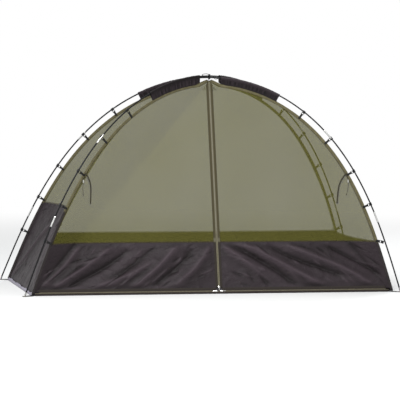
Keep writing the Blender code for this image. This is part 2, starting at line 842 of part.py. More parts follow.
def strap_path(length):
    """A strap from the seam to its eye, which wraps round a bar at the origin."""
    radius = EYE_BORE / 2 + STRAP_THICKNESS / 2
    path = [(-length, 0), (-length + STRAP_THICKNESS * 2, 0)]
    for angle in steps(*EYE_WRAP_DEGREES, EYE_STEPS):
        turn = math.radians(angle)
        path.append((radius * math.cos(turn), radius * math.sin(turn)))
    return path


def hook_mesh():
    """A moulded hook: a bar, two cheeks beside the strap's eye, a stem and a lip over the pole."""
    seat = FERRULE_RADIUS + FIT
    stem = seat + HOOK_THICKNESS / 2
    lip = HOOK_REACH + seat + HOOK_THICKNESS / 2
    path = [(-BAR_WIDTH / 2, 0), (BAR_WIDTH / 2, 0), (HOOK_WINDOW, stem - HOOK_THICKNESS / 2)]
    path.append((HOOK_WINDOW + HOOK_THICKNESS, stem))
    corner_angle = math.degrees(math.asin(stem / lip))
    for angle in steps(corner_angle, -HOOK_LIP_ANGLE, 3):
        turn = math.radians(angle)
        path.append((lip * math.cos(turn), lip * math.sin(turn)))
    here = Matrix.Identity(4)
    half = STRAP_WIDTH / 2 + HOOK_SIDE_GAP + HOOK_CHEEK
    inner = STRAP_WIDTH / 2 + HOOK_SIDE_GAP
    body = band(path, HOOK_THICKNESS, [here], -half, half)
    window = box(here, (BAR_WIDTH / 2, -lip, -inner), (HOOK_WINDOW, lip, inner))
    return fused_mesh("hook", [body], [window])


LOOSE_CLIP = ("front_right", 0)


def clip_straps_and_hooks(corner_name, hook):
    """The straps sewn to one seam, with a hook on each; one hook in the whole tent hangs loose."""
    straps = []
    half = STRAP_WIDTH / 2
    for index, place in enumerate(clip_places(corner_name)):
        frame, reach = clip_frame(corner_name, place)
        length = seam_gap(corner_name, place) - (BINDING_DEPTH - BINDING_INSIDE) - reach
        strap_frame = hook_frame = frame
        if (corner_name, index) == LOOSE_CLIP:
            strap_frame, hook_frame = loose_frames(corner_name, place)
        straps.append(band(strap_path(length + SEWN_IN), STRAP_THICKNESS, [strap_frame], -half, half))
        add_node(f"hook_{corner_name}_{index + 1}", "black plastic", hook, hook_frame)
    return straps


def corner_strap(corner):
    """The strap on the ground that ends in the hole for a pole's pin, and the hole itself."""
    foot = math.hypot(POLE_A.half_length, POLE_A.half_width) - math.hypot(HALF_LENGTH, HALF_WIDTH)
    half = CORNER_STRAP_WIDTH / 2
    level = Vector((corner[0] * HALF_LENGTH, corner[1] * HALF_WIDTH, 0))
    outward, up = level.normalized(), Vector((0, 0, 1))
    frame = basis(level, outward, up.cross(outward), up)
    start, end = FIT, foot + CORNER_STRAP_MARGIN
    strap = box(frame, (start, -half, 0), (end, half, CORNER_STRAP_THICKNESS))
    gusset_low = (start + FIT, -BINDING_THICKNESS / 2, CORNER_STRAP_THICKNESS / 2)
    gusset = box(frame, gusset_low, (CORNER_GUSSET_LENGTH, BINDING_THICKNESS / 2, CORNER_GUSSET_HEIGHT))
    seat = frame @ Matrix.Translation((foot, 0, 0))
    hole = prism(circle(GROMMET_BORE / 2, RING_SIDES), seat, -CLOTH, CORNER_STRAP_THICKNESS + CLOTH)
    return [strap, gusset], hole


def seam_bindings():
    """Each corner seam's bound edge, with the clip straps and the corner strap sewn into it."""
    hook = hook_mesh()
    path = ((-BINDING_INSIDE, 0), (BINDING_DEPTH - BINDING_INSIDE, 0))
    kink, end = SEAM.length - LIFT_LENGTH, SEAM.length - BINDING_CROWN_GAP
    places = steps(BINDING_START, kink, SEAM_STEPS) + [end]
    for name, corner in CORNERS.items():
        binding = band(path, BINDING_THICKNESS, [SEAM.frame(corner, place) for place in places])
        ground, hole = corner_strap(corner)
        straps = clip_straps_and_hooks(name, hook)
        mesh = fused_mesh(name, [binding, *ground, *straps], [hole])
        add_node(f"seam_binding_{name}", "olive tape", mesh)


def half_zip(name, side, start, coil_start, end, coil_end, lane):
    """One side of a zip in one piece: the tape, and the coil where the slider has left it."""
    coil_inner = ZIP_GAP / 2
    coil_outer = coil_inner + COIL_WIDTH
    tape = ((ZIP_BED, -CLOTH / 2), (TAPE_OUTER, -CLOTH / 2), (TAPE_OUTER, CLOTH / 2), (ZIP_BED, CLOTH / 2))
    coil = (
        (coil_inner, -COIL_THICKNESS / 2),
        (coil_outer, -COIL_THICKNESS / 2),
        (coil_outer, -TAPE_SEWN / 2),
        (ZIP_BED + SEWN_IN, -TAPE_SEWN / 2),
        (ZIP_BED + SEWN_IN, TAPE_SEWN / 2),
        (coil_outer, TAPE_SEWN / 2),
        (coil_outer, COIL_THICKNESS / 2),
        (coil_inner, COIL_THICKNESS / 2),
    )
    bodies = []
    for outline, places in ((tape, (start, end)), (coil, (coil_start, coil_end))):
        rings = [[lane(place, side * across, level) for across, level in outline] for place in places]
        bodies.append(loft(rings, [tuple(range(len(outline)))]))
    return fused_mesh(name, bodies)


def upright_lane(height, across, level):
    """A place by the upright zip: up the slope, across from its middle, and out."""
    return FRONT @ Vector((zip_x(height) + across, height, level))


def hem_lane(along, across, level):
    """A place by the zip along the floor: along the tent, up from its middle, and out."""
    return FRONT @ Vector((along, HEM_ZIP_HEIGHT + across, level))


def zips():
    """The zip halves on each door's free edges."""
    top = SLOPE - APEX_PATCH_HEIGHT - FIT
    parked = FRONT_SLIDER_HEIGHT + SLIDER_LENGTH / 2 + ZIP_END_GAP
    for name, side in (("left", -1), ("right", 1)):
        upright = half_zip(name, side, DOOR_BOTTOM, parked, top, top - ZIP_STOP, upright_lane)
        add_node(f"zip_tape_{name}", "olive tape", upright)
        outer = hinge_x(side, DOOR_BOTTOM) - side * hinge_inset(side)
        inner = ZIP_FOOT + side * (HEM_SLIDER_OFFSET + SLIDER_LENGTH / 2 + ZIP_END_GAP)
        end = ZIP_FOOT + side * (TAPE_OUTER + FIT)
        hem = half_zip(name, 1, outer, outer - side * ZIP_STOP, end, inner, hem_lane)
        add_node(f"hem_zip_{name}", "olive tape", hem)


def floor_sheet():
    """The groundsheet, with the floor's half of the zip standing along its front edge."""
    level = Matrix.Identity(4)
    ground = box(level, (-HALF_LENGTH, -HALF_WIDTH, 0), (HALF_LENGTH, HALF_WIDTH, CLOTH))
    coil_inner = -ZIP_GAP / 2
    coil_outer = coil_inner - COIL_WIDTH
    bottom = CLOTH / 2 - HEM_ZIP_HEIGHT
    outline = (
        (coil_inner, COIL_THICKNESS / 2),
        (coil_outer, COIL_THICKNESS / 2),
        (coil_outer, CLOTH / 2),
        (bottom, CLOTH / 2),
        (bottom, -CLOTH / 2),
        (coil_outer, -CLOTH / 2),
        (coil_outer, -COIL_THICKNESS / 2),
        (coil_inner, -COIL_THICKNESS / 2),
    )
    corner = HALF_LENGTH - HEM_ZIP_END
    rings = [[hem_lane(place, across, level) for across, level in outline] for place in (-corner, corner)]
    edge = loft(rings, [tuple(range(len(outline)))])
    add_node("floor_sheet", "floor cloth", fused_mesh("floor", [ground, edge]))


def slider_mesh():
    """A zip slider: two plates joined by a blade between the coils, and a bail for the pull."""
    here = Matrix.Identity(4)
    plate_low = COIL_THICKNESS / 2 + FIT
    plate_high = plate_low + SLIDER_PLATE
    blade, edge = SLIDER_BLADE / 2, SLIDER_WIDTH / 2
    outline = (
        (-blade, -plate_low),
        (-edge, -plate_low),
        (-edge, -plate_high),
        (edge, -plate_high),
        (edge, -plate_low),
        (blade, -plate_low),
        (blade, plate_low),
        (edge, plate_low),
        (edge, plate_high),
        (-edge, plate_high),
        (-edge, plate_low),
        (-blade, plate_low),
    )
    body = prism(outline, here, -SLIDER_LENGTH / 2, SLIDER_LENGTH / 2)
    half = BAIL_WIDTH / 2
    foot = plate_high - FIT
    top = plate_high + BAIL_HEIGHT
    arch = (
        (-half, foot),
        (-half + BAIL_LEG, foot),
        (-half + BAIL_LEG, top - BAIL_THICKNESS),
        (half - BAIL_LEG, top - BAIL_THICKNESS),
        (half - BAIL_LEG, foot),
        (half, foot),
        (half, top),
        (-half, top),
    )
    bail = prism(arch, here, -BAIL_LENGTH / 2, BAIL_LENGTH / 2)
    return fused_mesh("slider", [body, bail])


BAIL_LEVEL = COIL_THICKNESS / 2 + FIT + SLIDER_PLATE + BAIL_HEIGHT - BAIL_THICKNESS / 2


def pull_mesh():
    """A pull tab: a metal strip with an eye round the slider's bail, lying back along -Z."""
    radius = PULL_EYE_BORE / 2 + PULL_THICKNESS / 2
    path = [(-PULL_LENGTH, -radius), (-PULL_LENGTH / 2, -radius)]
    for angle in steps(*PULL_WRAP_DEGREES, EYE_STEPS):
        turn = math.radians(angle)
        path.append((radius * math.cos(turn), radius * math.sin(turn)))
    lying = basis(Vector((0, 0, 0)), Vector((0, 0, 1)), Vector((0, 1, 0)), Vector((-1, 0, 0)))
    half = PULL_WIDTH / 2
    return closed_mesh("pull", band(path, PULL_THICKNESS, [lying], -half, half))


def slider_places():
    """Each slider's name and frame: Y out of the cloth, Z the way it runs to open its zip."""
    outward = FRONT.to_3x3() @ Vector((0, 0, 1))
    run = (upright_lane(SLOPE, 0, 0) - upright_lane(0, 0, 0)).normalized()
    places = {"front": basis(upright_lane(FRONT_SLIDER_HEIGHT, 0, 0), outward.cross(run), outward, run)}
    for name, side in (("hem_left", -1), ("hem_right", 1)):
        run = Vector((side, 0, 0))
        place = hem_lane(ZIP_FOOT + side * HEM_SLIDER_OFFSET, 0, 0)
        places[name] = basis(place, outward.cross(run), outward, run)
    return places


def sliders():
    """Three sliders parked where the zips meet, each with its pull tab."""
    slider = slider_mesh()
    pull = pull_mesh()
    for name, place in slider_places().items():
        add_node(f"{name}_slider", "bright steel", slider, place)
        bail = place @ Matrix.Translation((0, BAIL_LEVEL, 0))
        if name != "front":
            bail = bail @ Matrix.Rotation(math.pi, 4, "Y")
        add_node(f"{name}_pull", "bright steel", pull, bail)


def tie_frame(corner_name):
    """A frame on a front seam for the door tie: X inwards along the front, Y up, Z outwards."""
    corner = CORNERS[corner_name]
    here = SEAM.point(corner, TIE_PLACE_SHARE * sleeve_start(corner_name))
    inward = -Vector((corner[0] * HALF_LENGTH, corner[1] * HALF_WIDTH, 0)).normalized()
    outward = -plane_normal(corner)
    up = Vector((LEAN_SLOPE, 0, 1)).normalized()
    return basis(here + outward * TIE_STAND_OFF, inward, up, outward)


def tie_points(frame, route, thickness):
    """A tie's route in place; it starts on the face of the seam's bound edge."""
    root = BINDING_THICKNESS / 2 + FIT + thickness / 2 - TIE_STAND_OFF
    levels = [root] + [0] * (len(route) - 1)
    return [frame @ Vector((x, y, level)) for (x, y), level in zip(route, levels)]


def smooth_route(points, per_span):
    """Points on a smooth curve through a route's own points."""
    smooth = []
    last = len(points) - 1
    for index in range(last):
        before, start = points[max(index - 1, 0)], points[index]
        end, after = points[index + 1], points[min(index + 2, last)]
        for share in steps(0, 1, per_span)[:-1]:
            smooth.append(
                (
                    start * 2
                    + (end - before) * share
                    + (before * 2 - start * 5 + end * 4 - after) * share**2
                    + (start * 3 - before - end * 3 + after) * share**3
                )
                / 2
            )
    return smooth + [points[last]]


def door_ties():
    """A strap, and a toggle on a cord, hang from each front seam to hold a rolled door."""
    for name, corner_name in (("left", "front_left"), ("right", "front_right")):
        frame = tie_frame(corner_name)
        outward = (frame.to_3x3() @ Vector((0, 0, 1))).normalized()
        route = tie_points(frame, TIE_STRAP_ROUTE, TIE_STRAP_THICKNESS)
        rows = []
        for index, here in enumerate(route):
            before, after = route[max(index - 1, 0)], route[min(index + 1, len(route) - 1)]
            across = (after - before).cross(outward).normalized() * (TIE_STRAP_WIDTH / 2)
            rows.append([here - across, here + across])
        strap = sheet(rows, TIE_STRAP_THICKNESS)
        points = tie_points(frame, TOGGLE_CORD_ROUTE, TOGGLE_CORD_DIAMETER)
        frames = route_frames(smooth_route(points, 2))
        cord = rod(frames, TOGGLE_CORD_DIAMETER / 2, CORD_SIDES)
        middle = frames[round(TOGGLE_PLACE_SHARE * (len(frames) - 1))]
        half = TOGGLE_LENGTH / 2
        ends = [middle @ Matrix.Translation((0, 0, level)) for level in (-half, half)]
        toggle = rod(ends, TOGGLE_DIAMETER / 2, RING_SIDES)
        add_node(f"door_tie_{name}", "black webbing", fused_mesh(name, [strap, cord, toggle]))


floor_sheet()
doors()
front_corners()
back_and_ends()
apex()
seam_bindings()
pole_sleeves()
poles()
zips()
sliders()
door_ties()
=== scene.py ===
"""The looks of the mosquito net tent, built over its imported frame.

Metres, +Z up, doors towards -Y. Each section below makes one piece of the tent, or a group of like
pieces, in the order in which the tent is put together.
"""

import math

import bmesh
import bpy
import numpy as np
from mathutils import Matrix, Vector


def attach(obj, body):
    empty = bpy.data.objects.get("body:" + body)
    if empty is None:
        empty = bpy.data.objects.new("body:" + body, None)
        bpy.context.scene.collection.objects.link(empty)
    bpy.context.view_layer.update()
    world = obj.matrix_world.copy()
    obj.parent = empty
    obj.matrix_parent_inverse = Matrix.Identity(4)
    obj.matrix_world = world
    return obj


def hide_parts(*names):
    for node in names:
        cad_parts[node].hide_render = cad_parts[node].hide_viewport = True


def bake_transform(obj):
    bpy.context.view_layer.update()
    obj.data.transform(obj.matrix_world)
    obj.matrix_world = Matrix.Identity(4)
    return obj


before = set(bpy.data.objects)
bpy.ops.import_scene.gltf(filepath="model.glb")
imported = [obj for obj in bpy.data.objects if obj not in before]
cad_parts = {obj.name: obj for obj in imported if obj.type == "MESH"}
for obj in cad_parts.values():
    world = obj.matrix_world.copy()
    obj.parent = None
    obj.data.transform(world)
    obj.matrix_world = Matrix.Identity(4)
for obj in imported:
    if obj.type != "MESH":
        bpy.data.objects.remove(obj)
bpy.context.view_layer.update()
bpy.ops.object.select_all(action="DESELECT")


# The poles' tubes: black pultruded fibreglass, a little scuffed. Each stands bent over one diagonal
# of the floor in the curve of a springy rod held at both feet, and leans towards the right end.
FLOOR_LENGTH = 2.10
FLOOR_WIDTH = 1.00
CROWN_HEIGHT = 1.236
CROWN_LEAN = 0.066
FOOT_REACH = 0.055
POLE_DIAMETER = 0.0085
TOUCH = 0.0003
TIP_END = 0.025
TUBE_SIDES = 16
TUBE_STEPS = 200
TUBE_BLACK = (0.008, 0.008, 0.009)

HALF_LENGTH, HALF_WIDTH = FLOOR_LENGTH / 2, FLOOR_WIDTH / 2
LEAN_SLOPE = CROWN_LEAN / CROWN_HEIGHT
CORNERS = {"front_left": (-1, -1), "front_right": (1, -1), "back_left": (-1, 1), "back_right": (1, 1)}


def running_sum(values, step):
    """The area under evenly spaced values, up to each of them."""
    return np.concatenate(([0], np.cumsum((values[1:] + values[:-1]) * step / 2)))


def basis(origin, x_axis, y_axis, z_axis):
    """The matrix that takes local coordinates to a place with the given axes."""
    return Matrix.Translation(origin) @ Matrix((x_axis, y_axis, z_axis)).transposed().to_4x4()


def plane_normal(corner):
    """The direction across the upright plane of a pole, towards the tent's nearer end."""
    level = Vector((corner[0] * HALF_LENGTH, corner[1] * HALF_WIDTH, 0))
    normal = level.cross(Vector((LEAN_SLOPE, 0, 1))).normalized()
    return normal if normal.x * corner[0] > 0 else -normal


class Arch:
    """A springy rod bent between two feet, leaning to one side as it rises."""

    def __init__(self, half_length, half_width, height):
        self.half_length, self.half_width = half_length, half_width
        span = math.hypot(half_length, half_width)
        turn = np.linspace(0, math.pi / 2, 401)
        low, high = 0.05, 0.90
        while high - low > 1e-12:
            modulus = (low + high) / 2
            bent = (modulus * np.sin(turn)) ** 2
            reach = running_sum((1 - 2 * bent) / np.sqrt(1 - bent), turn[1])
            if reach[-1] / (2 * modulus) > span / height:
                low = modulus
            else:
                high = modulus
        scale = height / (2 * modulus)
        self.arc = running_sum(1 / np.sqrt(1 - bent), turn[1]) * scale
        self.out = reach * scale / span
        self.rise = height * np.cos(turn)
        self.length = self.arc[-1]

    def point(self, corner, distance):
        """The point at this distance along the arch from the foot at a corner."""
        side_x, side_y = corner
        if distance > self.length:
            return self.point((-side_x, -side_y), 2 * self.length - distance)
        out = float(np.interp(self.length - distance, self.arc, self.out))
        rise = float(np.interp(self.length - distance, self.arc, self.rise))
        lean = LEAN_SLOPE * rise
        return Vector((side_x * self.half_length * out + lean, side_y * self.half_width * out, rise))

    def frame(self, corner, distance):
        """A matrix at a point: X away from the tent, Y towards the nearer end, Z along the arch."""
        here, probe = self.point(corner, distance), 0.002
        along = self.point(corner, distance + probe) - self.point(corner, distance - probe)
        across = plane_normal(corner)
        outward = across.cross(along).normalized()
        if outward.dot(here) < 0:
            outward = -outward
        return basis(here, outward, across, outward.cross(across))


class Signal:
    """A socket in a material; arithmetic on it adds Math nodes."""

    def __init__(self, finish, socket):
        self.finish, self.socket = finish, socket

    def maths(self, operation, first, second=0.0):
        return self.finish.node("Math", {"operation": operation}, {0: first, 1: second})

    def __add__(self, other):
        return self.maths("ADD", self, other)

    def __sub__(self, other):
        return self.maths("SUBTRACT", self, other)

    def __rsub__(self, other):
        return self.maths("SUBTRACT", other, self)

    def __mul__(self, other):
        return self.maths("MULTIPLY", self, other)

    def __pow__(self, other):
        return self.maths("POWER", self, other)

    def __abs__(self):
        return self.maths("ABSOLUTE", self)

    __radd__, __rmul__ = __add__, __mul__

    def wave(self, length):
        """A wave from 0 to 1 that repeats with this length."""
        return self.maths("SINE", self * (2 * math.pi / length)) * 0.5 + 0.5

    def larger(self, other):
        return self.maths("MAXIMUM", self, other)

    def above(self, level):
        return self.maths("GREATER_THAN", self, level)

    def rising(self, low, high):
        """0 below a value, 1 above another and a soft step between them."""
        settings = {"interpolation_type": "SMOOTHSTEP"}
        return self.finish.node("MapRange", settings, {0: self, 1: low, 2: high})


class Finish:
    """The procedural material of a piece."""

    def __init__(self, name, roughness=0.6, metallic=0.0, **constants):
        self.material = bpy.data.materials.new(name)
        self.material.use_nodes = True
        self.shader = self.material.node_tree.nodes["Principled BSDF"]
        self.set({"Roughness": roughness, "Metallic": metallic, "Specular IOR Level": 0.25, **constants})

    def node(self, kind, settings, inputs, output=0):
        """A new node of a kind: its settings first, then the values or links of its sockets."""
        node = self.material.node_tree.nodes.new("ShaderNode" + kind)
        for key, value in settings.items():
            setattr(node, key, value)
        for key, value in inputs.items():
            self.join(node.inputs[key], value)
        return Signal(self, node.outputs[output])

    def join(self, socket, value):
        if isinstance(value, Signal):
            self.material.node_tree.links.new(value.socket, socket)
        else:
            socket.default_value = value

    def set(self, inputs):
        """Values or links for the shader's own sockets."""
        for key, value in inputs.items():
            self.join(self.shader.inputs[key], value)

    def cloth(self):
        """The piece's own metres: across the cloth, or round a tape, and along it."""
        flat = self.node("UVMap", {"uv_map": "cloth"}, {})
        across = self.node("SeparateXYZ", {}, {0: flat})
        return across, Signal(self, across.socket.node.outputs[1])

    def mark(self, name):
        """A value that the mesh carries at each point."""
        return self.node("Attribute", {"attribute_name": name}, {}, "Fac")

    def noise(self, scale, detail=2.0, stretch=(1, 1, 1), turn=(0, 0, 0)):
        """A soft random pattern in the piece's place, drawn out along an axis by stretch."""
        place = self.node("TexCoord", {}, {}, "Object")
        place = self.node("Mapping", {}, {0: place, "Scale": stretch, "Rotation": turn})
        return self.node("TexNoise", {}, {"Vector": place, "Scale": scale, "Detail": detail})

    def mix(self, factor, first, second):
        """Two colours, or signals of colour, mixed."""
        ends = [(*end, 1) if isinstance(end, tuple) else end for end in (first, second)]
        return self.node("Mix", {"data_type": "RGBA"}, {0: factor, 6: ends[0], 7: ends[1]}, 2)

    def bump(self, height, distance):
        self.set({"Normal": self.node("Bump", {}, {"Height": height, "Distance": distance})})

    def give(self, *pieces):
        """Makes this the only material of the pieces."""
        for piece in pieces:
            piece.data.materials.clear()
            piece.data.materials.append(self.material)


def shade(colour, share):
    return tuple(part * share for part in colour)


def steps(low, high, count):
    """Evenly spaced values from low to high."""
    return [low + (high - low) * index / count for index in range(count + 1)]


def bent_guide(name, arch, corner):
    """A curve along a pole; a straight piece along X takes its bend."""
    curve = bpy.data.curves.new(name, "CURVE")
    curve.dimensions = "3D"
    line = curve.splines.new("POLY")
    line.points.add(400)
    for point, place in zip(line.points, steps(0, 2 * arch.length, 400)):
        point.co = (*arch.point(corner, place), 1)
    guide = bpy.data.objects.new(name, curve)
    bpy.context.scene.collection.objects.link(guide)
    return guide


def turned_bar(name, radius, start, end, cuts, sides=TUBE_SIDES):
    """A round bar along X in edit mode, cut across so that it can bend."""
    bpy.ops.object.select_all(action="DESELECT")
    bpy.ops.mesh.primitive_cylinder_add(
        vertices=sides,
        radius=radius,
        depth=end - start,
        location=((start + end) / 2, 0, 0),
        rotation=(0, math.pi / 2, 0),
    )
    bar = bpy.context.object
    bar.name = bar.data.name = name
    bpy.ops.object.transform_apply(location=True, rotation=True, scale=True)
    bpy.ops.object.mode_set(mode="EDIT")
    bpy.ops.mesh.select_mode(type="EDGE")
    choose(bar, edges=lambda a, b: abs(a.x - b.x) > (end - start) / 2)
    bpy.ops.mesh.subdivide(number_cuts=cuts)
    return bar


def choose(piece, edges=None, faces=None):
    """Selects the edges whose ends, or the faces whose middle, meet a test."""
    mesh = bmesh.from_edit_mesh(piece.data)
    for item in (*mesh.verts, *mesh.edges, *mesh.faces):
        item.select_set(False)
    for edge in mesh.edges:
        if edges and edges(edge.verts[0].co, edge.verts[1].co):
            edge.select_set(True)
    for face in mesh.faces:
        if faces and faces(face.calc_center_median()):
            face.select_set(True)
    mesh.select_flush(True)
    bmesh.update_edit_mesh(piece.data)


def bend_along(piece, guide):
    """Bends a straight piece along a guide, smooths it and hands it to the tent's body."""
    bpy.ops.object.mode_set(mode="OBJECT")
    bpy.ops.object.select_all(action="DESELECT")
    piece.select_set(True)
    bpy.context.view_layer.objects.active = piece
    modifier = piece.modifiers.new("bend", "CURVE")
    modifier.object = guide
    bpy.ops.object.modifier_apply(modifier="bend")
    bpy.ops.object.shade_smooth_by_angle(angle=math.radians(35))
    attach(piece, "tent")
    return piece


foot_scale = 1 + FOOT_REACH / math.hypot(HALF_LENGTH, HALF_WIDTH)
crossing = (POLE_DIAMETER + TOUCH) / 2
pole_a = Arch(HALF_LENGTH * foot_scale, HALF_WIDTH * foot_scale, CROWN_HEIGHT + crossing)
pole_b = Arch(HALF_LENGTH * foot_scale, HALF_WIDTH * foot_scale, CROWN_HEIGHT - crossing)
POLE_AT = {"front_left": pole_a, "back_right": pole_a, "front_right": pole_b, "back_left": pole_b}
POLES = {
    "a": (pole_a, bent_guide("guide_a", pole_a, CORNERS["front_left"])),
    "b": (pole_b, bent_guide("guide_b", pole_b, CORNERS["back_left"])),
}

for name, (arch, guide) in POLES.items():
    whole = 2 * arch.length
    tube = turned_bar(f"pole_tube_{name}", POLE_DIAMETER / 2, TIP_END, whole - TIP_END, TUBE_STEPS)
    bend_along(tube, guide)
    finish = Finish(f"pole_tube_{name}", 0.32)
    scuffs = finish.noise(240, 3).rising(0.55, 0.72)
    finish.set(
        {
            "Base Color": finish.mix(scuffs * 0.4, TUBE_BLACK, shade(TUBE_BLACK, 4)),
            "Roughness": finish.noise(60, 2) * 0.25 + 0.25,
            "Specular IOR Level": 0.12,
        }
    )
    finish.give(tube)
    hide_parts(f"pole_{name}")


# The ferrules: six bright aluminium sleeves on each pole. Each is crimped over the ends of two
# sections, and is modelled once for a pole and copied along it.
FERRULE_LENGTH = 0.065
FERRULE_RADIUS = POLE_DIAMETER / 2 + TOUCH + 0.0006
FERRULE_ROUND = 0.0005
END_SECTION = 0.455
MIDDLE_SECTIONS = 5
ALUMINIUM = (0.60, 0.60, 0.59)


def section_ends(arch):
    """Where a pole's sections meet, measured along the whole pole."""
    middle = (2 * arch.length - 2 * END_SECTION) / MIDDLE_SECTIONS
    return [END_SECTION + middle * index for index in range(MIDDLE_SECTIONS + 1)]


for name, (arch, guide) in POLES.items():
    first = section_ends(arch)[0]
    half = FERRULE_LENGTH / 2
    ferrule = turned_bar(f"ferrules_{name}", FERRULE_RADIUS, first - half, first + half, 6)
    choose(ferrule, edges=lambda a, b: abs(a.x - b.x) < 1e-5 and abs(abs(a.x - first) - half) < 1e-5)
    bpy.ops.mesh.bevel(offset=FERRULE_ROUND, segments=2)
    bpy.ops.object.mode_set(mode="OBJECT")
    copies = [ferrule]
    for place in section_ends(arch)[1:]:
        bpy.ops.object.select_all(action="DESELECT")
        ferrule.select_set(True)
        bpy.context.view_layer.objects.active = ferrule
        bpy.ops.object.duplicate(linked=False)
        copies.append(bpy.context.object)
        copies[-1].data.transform(Matrix.Translation((place - first, 0, 0)))
    for copy in copies:
        copy.select_set(True)
    bpy.context.view_layer.objects.active = ferrule
    bpy.ops.object.join()
    bend_along(ferrule, guide)
    finish = Finish(f"ferrules_{name}", 0.3, 1.0)
    wear = finish.noise(180, 4, (1, 1, 1)).rising(0.4, 0.7)
    finish.set(
        {
            "Base Color": finish.mix(wear * 0.6, ALUMINIUM, shade(ALUMINIUM, 0.62)),
            "Roughness": wear * 0.25 + 0.22,
        }
    )
    finish.give(ferrule)


# The poles' feet: turned aluminium plugs glued into a pole's ends, each with a pin that stands in
# the grommet of its corner strap. They are dirty from the ground.
TIP_DIAMETER = 0.0096
TIP_PIN_DIAMETER = 0.0040
TIP_PIN_END = 0.0054
TIP_START = 0.0016

for name, (arch, guide) in POLES.items():
    whole = 2 * arch.length
    feet = []
    for outer, inner in ((TIP_PIN_END, TIP_END), (whole - TIP_END, whole - TIP_PIN_END)):
        at_start = outer < whole / 2
        face_x = outer if at_start else inner
        foot = turned_bar(f"pole_feet_{name}", TIP_DIAMETER / 2, outer, inner, 2)
        bpy.ops.mesh.select_mode(type="FACE")
        choose(foot, faces=lambda middle: abs(middle.x - face_x) < 1e-6)
        bpy.ops.mesh.inset(thickness=(TIP_DIAMETER - TIP_PIN_DIAMETER) / 2)
        reach = (TIP_START - TIP_PIN_END) * (1 if at_start else -1)
        bpy.ops.mesh.extrude_region_move(TRANSFORM_OT_translate={"value": (reach, 0, 0)})
        bpy.ops.object.mode_set(mode="OBJECT")
        feet.append(foot)
    bpy.ops.object.select_all(action="DESELECT")
    for foot in feet:
        foot.select_set(True)
    bpy.context.view_layer.objects.active = feet[0]
    bpy.ops.object.join()
    bend_along(feet[0], guide)
    finish = Finish(f"pole_feet_{name}", 0.35, 1.0)
    dirt = finish.noise(120, 3).rising(0.3, 0.8)
    finish.set({"Base Color": finish.mix(dirt * 0.7, shade(ALUMINIUM, 0.6), (0.16, 0.15, 0.13))})
    finish.give(feet[0])

for arch, guide in POLES.values():
    bpy.data.objects.remove(guide, do_unlink=True)


# The shock cords: rubber in a pale cotton braid, strung through the bore of each pole. They are
# never seen, but have their own finish.
for name in POLES:
    finish = Finish(f"shock_cord_{name}", 0.85)
    braid = finish.noise(900, 1).rising(0.45, 0.55)
    finish.set({"Base Color": finish.mix(braid, (0.62, 0.60, 0.57), (0.78, 0.77, 0.74))})
    finish.bump(braid, 0.0002)
    finish.give(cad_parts[f"shock_cord_{name}"])


# The groundsheet: tough grey-violet coated nylon, laid flat on the ground and sewn to the walls all
# round. At the left end a paler lip of it turns up against the wall.
FLOOR_THICKNESS = 0.0006
FLOOR_GREY = (0.130, 0.122, 0.150)
LIP_GREY = (0.300, 0.280, 0.340)
LIP_HEIGHT = 0.015
LIP_FLARE = 0.006


def cloth_piece(name, grid, thickness=0.0, marks=None):
    """A sheet through a grid of points, with its own metres as UV and values carried by its points."""
    grid = np.asarray(grid, float)
    rows, columns = grid.shape[:2]
    wide = np.concatenate(
        (np.zeros((rows, 1)), np.cumsum(np.linalg.norm(np.diff(grid, axis=1), axis=2), axis=1)), axis=1
    )
    tall = np.concatenate(
        (np.zeros((1, columns)), np.cumsum(np.linalg.norm(np.diff(grid, axis=0), axis=2), axis=0)), axis=0
    )
    spans = np.stack((wide - wide[:, -1:] / 2, tall), axis=2).reshape(-1, 2)
    start = np.arange(rows - 1)[:, None] * columns + np.arange(columns - 1)[None, :]
    faces = np.stack((start, start + 1, start + columns + 1, start + columns), axis=2).reshape(-1, 4)
    mesh = bpy.data.meshes.new(name)
    mesh.from_pydata(grid.reshape(-1, 3).tolist(), [], faces.tolist())
    layer = mesh.uv_layers.new(name="cloth")
    index = np.zeros(len(mesh.loops), np.int32)
    mesh.loops.foreach_get("vertex_index", index)
    layer.data.foreach_set("uv", spans[index].astype(np.float32).ravel())
    for mark, values in (marks or {}).items():
        mesh.attributes.new(mark, "FLOAT", "POINT").data.foreach_set(
            "value", np.asarray(values, np.float32).ravel()
        )
    mesh.shade_smooth()
    piece = bpy.data.objects.new(name, mesh)
    bpy.context.scene.collection.objects.link(piece)
    if thickness:
        solid = piece.modifiers.new("thickness", "SOLIDIFY")
        solid.thickness = thickness
        solid.offset = 0
    return piece


def crests(grid, depth=0.006, rounds=70):
    """From 0 in the troughs of a sheet to 1 on its crests: how far it stands out from what is round it."""
    around = np.array(grid, float)
    for _ in range(rounds):
        around[:, 1:-1] = (around[:, :-2] + 2 * around[:, 1:-1] + around[:, 2:]) / 4
        around[1:-1] = (around[:-2] + 2 * around[1:-1] + around[2:]) / 4
    normal = np.cross(np.gradient(around, axis=1), np.gradient(around, axis=0))
    normal /= np.linalg.norm(normal, axis=2, keepdims=True)
    return np.clip(((grid - around) * normal).sum(axis=2) / (2 * depth) + 0.5, 0, 1)


def woven(finish, colour, highlight, thread=0.0009, creases=0.009):
    """A dark coated weave: painted highlight on the folds' crests and painted shade in their troughs, fine
    sharp creases and a thread pattern.
    """
    across, along = finish.cloth()
    weave = across.wave(thread) * along.wave(thread)
    sharp = 1 - abs(finish.noise(7, 4, (1, 1, 1.6), (0, 0.5, 0)) * 2 - 1)
    patches = finish.noise(3.2, 3).rising(0.35, 0.7)
    # Painted light and shade: the crest mark paints the cloth's crests towards the highlight colour and
    # leaves its troughs dark, standing in for how the folds are lit.
    wear_and_painted_shading = finish.mark("crest").rising(0.15, 0.95)
    finish.set(
        {
            "Base Color": finish.mix(wear_and_painted_shading * 0.85 + patches * 0.15 + weave * 0.1 - 0.1, colour, highlight),
            "Roughness": finish.noise(14, 3) * 0.2 + 0.42,
            "Specular IOR Level": 0.14,
        }
    )
    finish.bump(sharp**4 * 0.4 + finish.noise(30, 4) * 0.12 + weave * 0.012, creases)


